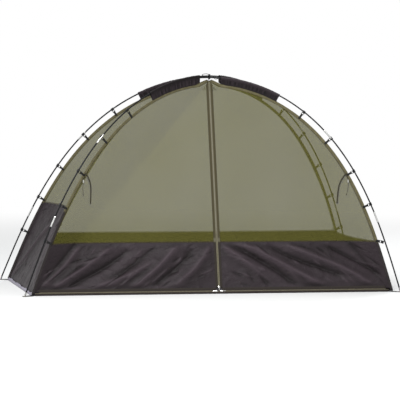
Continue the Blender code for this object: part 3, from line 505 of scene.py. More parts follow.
xs, ys = np.meshgrid(np.linspace(-HALF_LENGTH, HALF_LENGTH, 160), np.linspace(-HALF_WIDTH, HALF_WIDTH, 80))
edge_x, edge_y = HALF_LENGTH - np.abs(xs), HALF_WIDTH - np.abs(ys)
inside = np.clip(np.minimum(edge_x, edge_y) / 0.05, 0, 1)
ripple = 0.0008 * (1 + np.sin(xs * 17 + 2 * np.sin(ys * 9)) * np.sin(ys * 13 + 1.7 * np.sin(xs * 6)))
level = FLOOR_THICKNESS / 2 + 0.0002 + ripple * inside
ground = cloth_piece("groundsheet", np.stack((xs, ys, level), axis=2), FLOOR_THICKNESS)
finish = Finish("groundsheet", 0.5)
woven(finish, FLOOR_GREY, shade(FLOOR_GREY, 1.35), creases=0.004)
finish.give(ground)
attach(ground, "tent")
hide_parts("floor_sheet")

rows = []
for y in np.linspace(-HALF_WIDTH, HALF_WIDTH, 90):
    flutter = 0.0025 * math.sin(y * 21) + 0.0015 * math.sin(y * 53 + 1)
    foot_x = -HALF_LENGTH - LIP_FLARE - 0.003
    top_x = -HALF_LENGTH - 0.002 + flutter * 0.3
    row = []
    for up in steps(0, 1, 5):
        row.append((foot_x + (top_x - foot_x) * up, y, FLOOR_THICKNESS + (LIP_HEIGHT + flutter) * up**0.7))
    rows.append(row)
lip = cloth_piece("groundsheet_lip", rows, FLOOR_THICKNESS)
finish = Finish("groundsheet_lip", 0.45)
woven(finish, LIP_GREY, shade(LIP_GREY, 1.3), creases=0.003)
finish.give(lip)
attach(lip, "tent")


# The dark walls at the back and the ends: uncoated black-brown nylon sewn to the groundsheet, slack
# between the corner seams, so it falls in broad slanting folds with small creases over them.
SEAM_DROP = 0.056
CROWN_DROP = 0.026
LIFT_LENGTH = 0.075
LOW_WALL = 0.287
HIGH_WALL = 0.472
END_PULL = 0.070
BACK_SAG_SHARE = 0.6
FOLD_DEPTH = 0.020
FOLD_WIDTH = 0.024
WALL_THICKNESS = 0.0005
CREASES_PER_METRE = 46
WALL_BROWN = (0.0085, 0.0060, 0.0066)
WALL_SHEEN = (0.052, 0.039, 0.046)
END_FOLD_SHARES = (
    (0.08, 0.08, 0.46, 0.80, 0.7),
    (0.34, 0.10, 0.70, 0.85, -0.6),
    (0.95, 0.05, 0.66, 0.75, 0.8),
)
BACK_FOLD_SHARES = (
    (0.04, 0.05, 0.22, 0.85, 0.9),
    (0.20, 0.90, 0.44, 0.10, -0.7),
    (0.40, 0.10, 0.60, 0.85, 0.8),
    (0.62, 0.90, 0.82, 0.15, -0.6),
    (0.96, 0.05, 0.80, 0.80, 0.9),
)


class Seam(Arch):
    """The line where the front or back meets an end; it is drawn up to the poles at the crown."""

    def __init__(self, half_length, half_width, height):
        super().__init__(half_length, half_width, height)
        self.places = np.linspace(0, self.length, 401)
        self.heights = np.array([self.point(CORNERS["front_left"], place).z for place in self.places])

    def point(self, corner, distance):
        near_crown = max(LIFT_LENGTH - abs(self.length - distance), 0)
        lift = near_crown / LIFT_LENGTH * (SEAM_DROP - CROWN_DROP)
        return super().point(corner, distance) + Vector((LEAN_SLOPE, 0, 1)) * lift

    def at_height(self, corner, height, inside=0.0):
        """The point of the seam at a height, or one that lies inside it, square to the seam."""
        place = float(np.interp(height, self.heights, self.places))
        return self.frame(corner, place) @ Vector((-inside, 0, 0))


seam = Seam(HALF_LENGTH, HALF_WIDTH, CROWN_HEIGHT - SEAM_DROP)
crown = seam.point(CORNERS["front_left"], seam.length)


def eased(value, low, high):
    """0 below a value, 1 above another and a soft step between them."""
    share = np.clip((value - low) / (high - low), 0, 1)
    return share * share * (3 - 2 * share)


def folded(across, up, width, height, folds, seed, leans=((0.3, 1.0), (-1.0, -0.3))):
    """How far slack cloth stands out: broad folds along lines, with small sharp creases over them."""
    random = np.random.default_rng(seed)
    x, y = across * width, up * height
    place = np.stack((x + 0.012 * np.sin(19 * y + seed), y + 0.009 * np.sin(11 * x + seed)), axis=-1)

    def ridge(start, end, depth, wide, fade):
        line = end - start
        share = np.clip((place - start) @ line / (line @ line), 0, 1)
        away = np.linalg.norm(place - start - share[..., None] * line, axis=-1)
        crest = np.exp(-(np.hypot(away, wide / 5) - wide / 5) / wide)
        return depth * crest * np.sin(math.pi * np.clip(share, 0.02, 0.98)) ** fade

    total = np.zeros(across.shape)
    for start_across, start_up, end_across, end_up, depth in folds:
        ends = np.array(((start_across, start_up), (end_across, end_up))) * (width, height)
        total += ridge(*ends, depth * FOLD_DEPTH, FOLD_WIDTH, 0.3)
    for _ in range(int(CREASES_PER_METRE * width)):
        middle = random.uniform((0, 0), (width, height))
        lean = random.uniform(*leans[random.integers(len(leans))])
        reach = np.array((math.cos(lean), math.sin(lean))) * random.uniform(0.02, 0.10)
        depth = random.uniform(0.0014, 0.0050) * random.choice((-1, 1))
        total += ridge(middle - reach, middle + reach, depth, random.uniform(0.004, 0.010), 1.0)
    sides = eased(np.minimum(x, width - x), 0.008, 0.045)
    return total * sides * eased(y, 0.012, 0.045) * eased(height - y, 0.0, 0.045)


def back_grid(heights, columns, folds=(), seed=0):
    """Points over the back, drawn in between its two seams."""
    shares = np.linspace(0, 1, columns)
    middle = 4 * shares * (1 - shares)
    ups = (np.array(heights) - heights[0]) / (heights[-1] - heights[0])
    relief = np.zeros((len(heights), columns))
    if folds:
        grids = np.meshgrid(shares, ups)
        relief = folded(*grids, FLOOR_LENGTH, heights[-1] - heights[0], folds, seed)
    rows = []
    for index, height in enumerate(heights):
        left = seam.at_height(CORNERS["back_left"], height)
        right = seam.at_height(CORNERS["back_right"], height)
        sag = (left.y - HALF_WIDTH * (1 - height / crown.z)) * BACK_SAG_SHARE
        x = left.x + (right.x - left.x) * shares
        rows.append(np.stack((x, left.y - sag * middle + relief[index], np.full(columns, height)), axis=1))
    return np.array(rows)


def end_grid(side, heights, columns, folds=(), seed=0):
    """Points over one end, pulled in towards the middle between its two seams."""
    corner = CORNERS["front_left" if side < 0 else "front_right"]
    shares = np.linspace(0, 1, columns)
    middle = 4 * shares * (1 - shares)
    ups = (np.array(heights) - heights[0]) / (heights[-1] - heights[0])
    relief = np.zeros((len(heights), columns))
    if folds:
        grids = np.meshgrid(shares, ups)
        relief = folded(*grids, FLOOR_WIDTH, heights[-1] - heights[0], folds, seed)
    rows = []
    for index, height in enumerate(heights):
        edge = seam.at_height(corner, height)
        pull = END_PULL * math.sin(math.pi * height / crown.z)
        x = edge.x - side * (pull * middle - relief[index])
        rows.append(np.stack((x, edge.y * (1 - 2 * shares), np.full(columns, height)), axis=1))
    return np.array(rows)


def grid_area(grid):
    """The area of a grid of points."""
    ways = grid[1:, 1:] - grid[:-1, :-1], grid[1:, :-1] - grid[:-1, 1:]
    return float(np.linalg.norm(np.cross(*ways), axis=2).sum() / 2)


def declare_sheet(grid):
    """Works out a sheet's width, its height and its area; nothing is done with them."""
    wide = float(np.linalg.norm(np.diff(grid, axis=1), axis=2).sum(axis=1).max())
    tall = float(np.linalg.norm(np.diff(grid, axis=0), axis=2).sum(axis=0).max())
    area = min(grid_area(grid), wide * tall)


def wall_finish(name):
    finish = Finish(name, 0.45)
    woven(finish, WALL_BROWN, WALL_SHEEN)
    return finish


FLOOR_TOP = 0.0014
SOFT_WALLS = (
    ("back_wall", back_grid(steps(FLOOR_TOP, LOW_WALL, 60), 400, BACK_FOLD_SHARES, 3)),
    ("left_end_wall", end_grid(-1, steps(FLOOR_TOP, HIGH_WALL, 100), 200, END_FOLD_SHARES, 5)),
    ("right_end_wall", end_grid(1, steps(FLOOR_TOP, LOW_WALL, 60), 200, END_FOLD_SHARES, 8)),
)
for name, grid in SOFT_WALLS:
    # Its crest mark carries the painted highlight on the folds' crests and painted shade in their troughs.
    wall = cloth_piece(f"{name}_cloth", grid, WALL_THICKNESS, {"crest": 1 - crests(grid)})
    wall_finish(f"{name}_cloth").give(wall)
    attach(wall, "tent")
    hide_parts(name)
    declare_sheet(grid)


# The net at the back and the ends: fine olive polyester mesh, drawn tight between the seams and sewn
# along the top of the walls. The roof is where the four nets meet under the crossing.
NET_OLIVE = (0.085, 0.080, 0.017)
NET_PALE = (0.150, 0.142, 0.034)
SEWN_OLIVE = (0.056, 0.048, 0.021)
NET_COVER = 0.61
NET_HOLE = 0.0016
SEWN_EDGE = 0.007


def net_heights(low):
    """Heights of a net's rows, closer together where the seam is drawn up to the crown."""
    kink = seam.point(CORNERS["front_left"], seam.length - LIFT_LENGTH).z
    return steps(low, kink, 60) + steps(kink, crown.z - 0.0015, 6)[1:]


def edge_distance(grid):
    """How far each point of a grid is from its nearest edge at the side, or from its foot."""
    wide = np.concatenate(
        (np.zeros((len(grid), 1)), np.cumsum(np.linalg.norm(np.diff(grid, axis=1), axis=2), axis=1)), axis=1
    )
    tall = np.linalg.norm(grid - grid[:1], axis=2)
    return np.minimum(np.minimum(wide, wide[:, -1:] - wide), tall)


def net_finish(name):
    """Net that shows what lies behind it; where it is sewn, two layers and a tape make it denser."""
    finish = Finish(name, 0.75)
    across, along = finish.cloth()
    threads = (across.wave(NET_HOLE) ** 2).larger(along.wave(NET_HOLE) ** 2)
    sewn = 1 - finish.mark("edge").rising(SEWN_EDGE * 0.9, SEWN_EDGE * 1.1)
    cloudy = finish.noise(2.5, 2) * 0.10
    net = finish.mix(threads * 0.12 + cloudy * 3, NET_OLIVE, NET_PALE)
    finish.set(
        {
            "Base Color": finish.mix(sewn, net, SEWN_OLIVE),
            "Alpha": threads * 0.06 + (NET_COVER - 0.07) + cloudy + sewn * 0.22,
            "Specular IOR Level": 0.05,
        }
    )
    return finish


SOFT_NETS = (
    ("back_net", back_grid(net_heights(LOW_WALL), 90)),
    ("left_end_net", end_grid(-1, net_heights(HIGH_WALL), 60)),
    ("right_end_net", end_grid(1, net_heights(LOW_WALL), 60)),
)
for name, grid in SOFT_NETS:
    net = cloth_piece(f"{name}_cloth", grid, marks={"edge": edge_distance(grid)})
    net_finish(f"{name}_cloth").give(net)
    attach(net, "tent")
    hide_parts(name)
    declare_sheet(grid)


# The front: one sheet on each side of the upright zip, dark nylon below and net above. Each is drawn
# from its corner seam over a fold line that runs from the floor's corner to the crown; the part
# beyond that line, which is the door, is not made to swing.
ZIP_FOOT = 0.027
TAPE_UNDER = 0.012
TAPE_OUTER = 0.01925
HEM_ZIP_HEIGHT = 0.016
HINGE_ROUND = 0.012
LEFT_FOLD_SHARES = (
    (0.03, 0.10, 0.20, 0.95, 0.6),
    (0.10, 0.05, 0.38, 0.90, 1.0),
    (0.18, 0.05, 0.47, 0.85, -1.0),
    (0.34, 0.08, 0.62, 0.60, 0.7),
    (0.40, 0.30, 0.66, 0.95, -0.5),
    (0.54, 0.10, 0.78, 0.90, 0.9),
    (0.66, 0.12, 0.86, 0.80, -0.7),
    (0.78, 0.10, 0.97, 0.90, 0.7),
)
RIGHT_FOLD_SHARES = (
    (0.03, 0.95, 0.24, 0.30, 0.7),
    (0.08, 0.97, 0.44, 0.15, -0.8),
    (0.16, 0.95, 0.60, 0.10, 1.0),
    (0.34, 0.90, 0.72, 0.25, -0.8),
    (0.46, 0.95, 0.88, 0.12, 0.9),
    (0.70, 0.90, 0.97, 0.30, -0.7),
)

up_slope = Vector((0, HALF_WIDTH, crown.z)).normalized()
outward = Vector((1, 0, 0)).cross(up_slope)
FRONT = basis(Vector((0, -HALF_WIDTH, 0)), Vector((1, 0, 0)), up_slope, outward)
SLOPE = math.hypot(HALF_WIDTH, crown.z)


def hinge_x(side, height):
    """Where a door's fold line lies at a height up the slope."""
    return side * HALF_LENGTH + (crown.x - side * HALF_LENGTH) * height / SLOPE


def zip_x(height):
    """Where the middle of the upright zip lies at a height up the slope."""
    return ZIP_FOOT + (crown.x - ZIP_FOOT) * height / SLOPE


def front_grid(side, heights, gore_columns, door_columns, folds=(), seed=0, leans=()):
    """Points over one side of the front, from its left to its right, by height up the slope."""
    corner = (side, -1)
    foot = Vector((side * HALF_LENGTH, -HALF_WIDTH, 0))
    gore = np.linspace(0, 1, gore_columns)[:, None]
    door = np.linspace(0, 1, door_columns)[:, None]
    rows = []
    for height in heights:
        z = height * crown.z / SLOPE
        outer = np.array(seam.at_height(corner, z, 0.001))
        fold = np.array(foot + (crown - foot) * (z / crown.z))
        inner = np.array(FRONT @ Vector((zip_x(height) + side * TAPE_UNDER, height, -0.0006)))
        row = np.concatenate((outer + (fold - outer) * gore, (fold + (inner - fold) * door)[1:]))
        rows.append(row if side < 0 else row[::-1])
    grid = np.array(rows)
    for _ in range(3):
        grid[:, 1:-1] = (grid[:, :-2] + 2 * grid[:, 1:-1] + grid[:, 2:]) / 4
    if folds:
        wide = np.abs(grid[:, -1] - grid[:, 0])[:, :1]
        across = (grid[..., 0] - grid[:, :1, 0]) / wide
        up = np.repeat(np.linspace(0, 1, len(heights))[:, None], across.shape[1], axis=1)
        relief = folded(across, up, float(wide.max()), heights[-1] - heights[0], folds, seed, leans)
        grid += relief[..., None] * np.array(outward)
    return grid


def swing_with_door(piece, side):
    """Bakes a front sheet's place into its mesh; its fold line is worked out, but the sheet is not bent
    there.
    """
    line = Vector((crown.x - side * HALF_LENGTH, SLOPE, 0)).normalized()
    inward = Vector((line.y, -line.x, 0)) * -side
    middle = Vector((hinge_x(side, SLOPE / 2), SLOPE / 2, 0))
    ends = [FRONT @ (middle + inward * reach) for reach in (-HINGE_ROUND, HINGE_ROUND)]
    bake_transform(piece)


wall_top = LOW_WALL * SLOPE / crown.z
hem_bottom = HEM_ZIP_HEIGHT + 0.006
net_slope = [z * SLOPE / crown.z for z in net_heights(LOW_WALL)]
for name, side, folds, seed in (("left", -1, LEFT_FOLD_SHARES, 21), ("right", 1, RIGHT_FOLD_SHARES, 34)):
    lean = [tuple(sorted((-side * 0.25, -side * 0.95)))]
    grid = front_grid(side, steps(hem_bottom, wall_top, 76), 34, 250, folds, seed, lean)
    # Its crest mark carries the painted highlight on the folds' crests and painted shade in their troughs.
    wall = cloth_piece(f"front_{name}_wall_cloth", grid, WALL_THICKNESS, {"crest": crests(grid)})
    wall_finish(f"front_{name}_wall_cloth").give(wall)
    swing_with_door(wall, side)
    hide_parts(f"front_{name}_wall", f"door_{name}_wall")
    declare_sheet(grid)
    grid = front_grid(side, net_slope, 16, 60)
    net = cloth_piece(f"front_{name}_net_cloth", grid, marks={"edge": edge_distance(grid)})
    net_finish(f"front_{name}_net_cloth").give(net)
    swing_with_door(net, side)
    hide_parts(f"front_{name}_net", f"door_{name}_net")
    declare_sheet(grid)


# The clip straps: flat black webbing that holds both faces of a seam's edge, looped round the bar of
# each hook. The lowest one at the right front hangs loose with its hook.
CLIP_PLACE_SHARES = (0.232, 0.387, 0.542, 0.711, 0.873)
SLEEVE_CROWN_GAP = 0.073
SLEEVE_LENGTH = 0.37
BINDING_DEPTH = 0.016
BINDING_INSIDE = 0.002
BINDING_HALF = 0.0012
STRAP_WIDTH = 0.012
STRAP_THICKNESS = 0.0012
STRAP_SEWN = BINDING_DEPTH - 0.003
HOOK_REACH = 0.018
EYE_RADIUS = 0.0030
LOOSE_DROOP = 35.0
LOOSE_SWING = 50.0
WEBBING_BLACK = (0.007, 0.007, 0.007)
WEBBING_GREY = (0.024, 0.024, 0.025)


def seam_gap(corner_name, place):
    """The straight distance from a pole's middle to its seam, square to the pole."""
    corner = CORNERS[corner_name]
    inverse = POLE_AT[corner_name].frame(corner, place).inverted()
    near = [inverse @ seam.point(corner, other) for other in steps(place - SEAM_DROP, place + SEAM_DROP, 60)]
    return -min(near, key=lambda point: abs(point.z)).x


def clip_place(corner_name, share):
    return share * (POLE_AT[corner_name].length - SLEEVE_CROWN_GAP - SLEEVE_LENGTH)


def clip_frame(corner_name, place):
    """The frame at a hook's bar, and its reach from the pole: less where it grips a ferrule."""
    arch = POLE_AT[corner_name]
    near = any(abs(place - joint) < (FERRULE_LENGTH + STRAP_WIDTH) / 2 for joint in section_ends(arch))
    reach = HOOK_REACH + FERRULE_RADIUS - (FERRULE_RADIUS if near else POLE_DIAMETER / 2)
    return arch.frame(CORNERS[corner_name], place) @ Matrix.Translation((-reach, 0, 0)), reach


def loose_strap_frame(matrix, back):
    """The frame of the strap that hangs free, at its hook's bar."""
    droop = Matrix.Rotation(math.radians(LOOSE_DROOP), 4, "Y")
    straight = matrix.to_3x3()
    if (straight @ droop.to_3x3() @ Vector((1, 0, 0))).z > (straight @ Vector((1, 0, 0))).z:
        droop = droop.inverted()
    swing = Matrix.Rotation(-math.radians(LOOSE_SWING), 4, "Z")
    return matrix @ Matrix.Translation((-back, 0, 0)) @ droop @ swing @ Matrix.Translation((back, 0, 0))


def joined(name, pieces):
    """Pieces of cloth made one object."""
    bpy.ops.object.select_all(action="DESELECT")
    for piece in pieces:
        piece.select_set(True)
    bpy.context.view_layer.objects.active = pieces[0]
    bpy.ops.object.join()
    pieces[0].name = pieces[0].data.name = name
    return pieces[0]


def webbing_finish(name, dark=WEBBING_BLACK, pale=WEBBING_GREY):
    finish = Finish(name, 0.7)
    across, along = finish.cloth()
    weave = (across.wave(0.0016) * along.wave(0.0022)).rising(0.2, 0.6)
    finish.set({"Base Color": finish.mix(weave * 0.7, dark, pale)})
    finish.bump(weave, 0.0004)
    return finish


sewn_on = {name: [] for name in CORNERS}
for name, corner in CORNERS.items():
    straps = []
    for index, share in enumerate(CLIP_PLACE_SHARES):
        place = clip_place(name, share)
        matrix, reach = clip_frame(name, place)
        length = seam_gap(name, place) - (BINDING_DEPTH - BINDING_INSIDE) - reach
        hold = straight = matrix
        if (name, index) == ("front_right", 0):
            matrix = loose_strap_frame(matrix, length)
        face = BINDING_HALF + STRAP_THICKNESS / 2 + TOUCH
        inner = -length - STRAP_SEWN
        path = [straight @ Vector((inner + share * STRAP_SEWN, face, 0)) for share in (0, 0.5, 1)]
        path += [matrix @ Vector((x, y, 0)) for x, y in ((-length * 0.75, 0.0011), (-0.007, 0.0016))]
        for turn in steps(140, -140, 12):
            angle = math.radians(turn)
            path.append(matrix @ Vector((EYE_RADIUS * math.cos(angle), EYE_RADIUS * math.sin(angle), 0)))
        path += [matrix @ Vector((x, y, 0)) for x, y in ((-0.007, -0.0016), (-length * 0.75, -0.0011))]
        path += [straight @ Vector((inner + share * STRAP_SEWN, -face, 0)) for share in (1, 0.5, 0)]
        half = STRAP_WIDTH / 2
        outer_way, inner_way = (hold.to_3x3() @ Vector((0, 0, 1)) for hold in (matrix, straight))
        grid = []
        for number, here in enumerate(path):
            way = inner_way if number < 3 or number > len(path) - 4 else outer_way
            grid.append([here + way * wide for wide in (-half, -half / 2, 0, half / 2, half)])
        straps.append(cloth_piece("strap", grid, STRAP_THICKNESS))
    strap = joined(f"clip_straps_{name}", straps)
    webbing_finish(f"clip_straps_{name}").give(strap)
    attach(strap, "tent")
    sewn_on[name].append(strap)


# The corner straps: black webbing on the ground that ties each foot of a pole to the tent's corner.
# Each has a flat square end round its grommet, and a short upright tab where it is sewn on.
CORNER_STRAP_WIDTH = 0.025
CORNER_STRAP_THICKNESS = 0.0014
CORNER_STRAP_RISE = 0.0012
TAB_LEVELS = (CORNER_STRAP_THICKNESS, 0.005, 0.009)
CORNER_STRAP_MARGIN = 0.016
GROMMET_BORE = 0.0075
FOOT_PLACE = math.hypot(HALF_LENGTH, HALF_WIDTH) * (foot_scale - 1)


def ground_frame(corner):
    """The frame of a corner's strap: X away from the tent, Z up."""
    level = Vector((corner[0] * HALF_LENGTH, corner[1] * HALF_WIDTH, 0))
    away, up = level.normalized(), Vector((0, 0, 1))
    return basis(level, away, up.cross(away), up)


for name, corner in CORNERS.items():
    matrix = ground_frame(corner)
    half = CORNER_STRAP_WIDTH / 2
    middle_level = CORNER_STRAP_THICKNESS / 2 + 0.0001
    near = FOOT_PLACE - half
    band_rows = []
    for x in steps(0.0005, near, 16):
        z = middle_level + CORNER_STRAP_RISE * math.sin(math.pi * (x / near)) ** 2
        band_rows.append([matrix @ Vector((x, y, z)) for y in steps(-half, half, 6)])
    ring_rows = []
    for turn in steps(0, 2 * math.pi, 40):
        way = Vector((math.cos(turn), math.sin(turn), 0))
        edge = min(half / max(abs(way.x), 1e-6), half / max(abs(way.y), 1e-6))
        if way.x > 0:
            edge = min(edge, CORNER_STRAP_MARGIN * 0.97)
        shares = [GROMMET_BORE / 2 + (edge - GROMMET_BORE / 2) * share for share in steps(0, 1, 4)]
        ring_rows.append([matrix @ (Vector((FOOT_PLACE, 0, middle_level)) + way * reach) for reach in shares])
    fin = [[matrix @ Vector((x, 0, z)) for x in steps(0.001, 0.010, 3)] for z in TAB_LEVELS]
    pieces = [cloth_piece("strap", rows, CORNER_STRAP_THICKNESS) for rows in (band_rows, ring_rows, fin)]
    strap = joined(f"corner_strap_{name}", pieces)
    webbing_finish(f"corner_strap_{name}").give(strap)
    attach(strap, "tent")
    sewn_on[name].append(strap)


# The grommets: rolled brass eyelets in the corner straps, dulled by earth. A pole's pin stands in
# each.
GROMMET_RADIUS = 0.0072
GROMMET_HEIGHT = 0.0026
BRASS = (0.34, 0.26, 0.13)
first_name = "front_left"
place = ground_frame(CORNERS[first_name]) @ Vector((FOOT_PLACE, 0, GROMMET_HEIGHT / 2 + 0.0001))
bpy.ops.object.select_all(action="DESELECT")
bpy.ops.mesh.primitive_cylinder_add(vertices=32, radius=GROMMET_RADIUS, depth=GROMMET_HEIGHT, location=place)
grommet = bpy.context.object
grommet.name = grommet.data.name = f"grommet_{first_name}"
bpy.ops.object.transform_apply(location=True, rotation=True, scale=True)
bpy.ops.object.mode_set(mode="EDIT")
bpy.ops.mesh.select_mode(type="FACE")
for end in (-1, 1):
    choose(grommet, faces=lambda middle: abs(middle.z - place.z - end * GROMMET_HEIGHT / 2) < 1e-5)
    bpy.ops.mesh.inset(thickness=GROMMET_RADIUS - GROMMET_BORE / 2 + TOUCH)
choose(grommet, faces=lambda middle: (middle - place).xy.length < 1e-4)
bpy.ops.mesh.bridge_edge_loops()
bpy.ops.object.mode_set(mode="OBJECT")
bpy.ops.object.modifier_add(type="BEVEL")
rolled = grommet.modifiers[-1]
rolled.width, rolled.segments, rolled.angle_limit = 0.0008, 3, math.radians(60)
bpy.ops.object.modifier_apply(modifier=rolled.name)
bpy.ops.object.shade_smooth_by_angle(angle=math.radians(50))
for name, corner in CORNERS.items():
    eyelet = grommet
    if name != first_name:
        bpy.ops.object.select_all(action="DESELECT")
        grommet.select_set(True)
        bpy.context.view_layer.objects.active = grommet
        bpy.ops.object.duplicate(linked=False)
        eyelet = bpy.context.object
        eyelet.name = eyelet.data.name = f"grommet_{name}"
        target = ground_frame(corner) @ Vector((FOOT_PLACE, 0, place.z))
        eyelet.data.transform(Matrix.Translation(target - place))
for name in CORNERS:
    eyelet = bpy.data.objects[f"grommet_{name}"]
    finish = Finish(eyelet.name, 0.4, 1.0)
    dull = finish.noise(350, 4).rising(0.35, 0.7)
    finish.set({"Base Color": finish.mix(dull, BRASS, shade(BRASS, 0.35)), "Roughness": dull * 0.4 + 0.25})
    finish.give(eyelet)
    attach(eyelet, "tent")
    sewn_on[name].append(eyelet)


# The door ties: on each front seam hang a flat olive strap and a thin cord with a toggle, which hold
# a rolled door.
TIE_PLACE_SHARE = 0.525
TIE_STAND_OFF = 0.009
TIE_STRAP_WIDTH = 0.008
TIE_STRAP_THICKNESS = 0.0012
TOGGLE_CORD_DIAMETER = 0.0024
TOGGLE_DIAMETER = 0.008
TOGGLE_LENGTH = 0.016
TOGGLE_PLACE_SHARE = 0.45
TIE_STRAP_ROUTE = (
    (-0.006, 0.006),
    (0.006, -0.002),
    (0.013, -0.012),
    (0.022, -0.027),
    (0.031, -0.047),
    (0.037, -0.070),
    (0.040, -0.096),
    (0.041, -0.124),
    (0.042, -0.168),
)
TOGGLE_CORD_ROUTE = (
    (-0.005, 0.002),
    (-0.008, -0.008),
    (-0.014, -0.022),
    (-0.016, -0.045),
    (-0.017, -0.070),
    (-0.015, -0.095),
    (-0.010, -0.116),
)
TIE_OLIVE = (0.030, 0.026, 0.015)
TIE_PALE = (0.062, 0.055, 0.033)
TOGGLE_GREY = (0.42, 0.42, 0.39)


def tie_frame(corner_name):
    """A frame on a front seam: X inwards along the front, Y up, Z outwards."""
    corner = CORNERS[corner_name]
    here = seam.point(corner, clip_place(corner_name, TIE_PLACE_SHARE))
    inward = -Vector((corner[0] * HALF_LENGTH, corner[1] * HALF_WIDTH, 0)).normalized()
    away = -plane_normal(corner)
    return basis(here + away * TIE_STAND_OFF, inward, Vector((LEAN_SLOPE, 0, 1)).normalized(), away)


def smooth_route(points, per_span):
    """Points on a smooth curve through a route's own points."""
    smooth = []
    last = len(points) - 1
    for index in range(last):
        before, start = points[max(index - 1, 0)], points[index]
        end, after = points[index + 1], points[min(index + 2, last)]
        for share in steps(0, 1, per_span)[:-1]:
            slope, bend = end - before, before * 2 - start * 5 + end * 4 - after
            swing = start * 3 - before - end * 3 + after
            smooth.append((start * 2 + slope * share + bend * share**2 + swing * share**3) / 2)
    return smooth + [points[last]]


def route_frames(points):
    """Frames along a route, turned no more than it turns."""
    frames = []
    side = Vector((0.3, 0.9, 0.2))
    for index, here in enumerate(points):
        way = (points[min(index + 1, len(points) - 1)] - points[max(index - 1, 0)]).normalized()
        side = (side - way * side.dot(way)).normalized()
        frames.append(basis(here, side, way.cross(side), way))
    return frames


def cord_piece(name, points, diameter):
    turns = [2 * math.pi * index / 10 for index in range(10)]
    outline = [(diameter / 2 * math.cos(turn), diameter / 2 * math.sin(turn)) for turn in turns]
    return tube_piece(name, route_frames(points), outline)


def knot_piece(name, end, diameter):
    """An overhand knot pulled tight round the end of a cord."""
    size = diameter * 0.52
    points = []
    for turn in steps(0, 2 * math.pi, 48)[:-1]:
        ring = 1.6 + math.cos(3 * turn) * 0.75
        lobe = Vector((ring * math.cos(2 * turn), ring * math.sin(2 * turn), math.sin(3 * turn)))
        points.append(end + lobe * size)
    return cord_piece(name, points, diameter * 0.9)


def cord_finish(name, dark, pale):
    finish = Finish(name, 0.8)
    across, along = finish.cloth()
    braid = (across * 1.0 + along).wave(0.0018) * (along - across).wave(0.0018)
    finish.set({"Base Color": finish.mix(braid, dark, pale)})
    finish.bump(braid, 0.0003)
    return finish


def tube_piece(name, frames, outline):
    """A closed body drawn along frames from a flat outline, its ends covered."""
    closed = [*outline, outline[0]]
    piece = cloth_piece(name, [[matrix @ Vector((x, y, 0)) for x, y in closed] for matrix in frames])
    shell = bmesh.new()
    shell.from_mesh(piece.data)
    bmesh.ops.remove_doubles(shell, verts=shell.verts, dist=1e-6)
    bmesh.ops.holes_fill(shell, edges=[edge for edge in shell.edges if edge.is_boundary])
    bmesh.ops.recalc_face_normals(shell, faces=shell.faces)
    shell.to_mesh(piece.data)
    shell.free()
    return piece


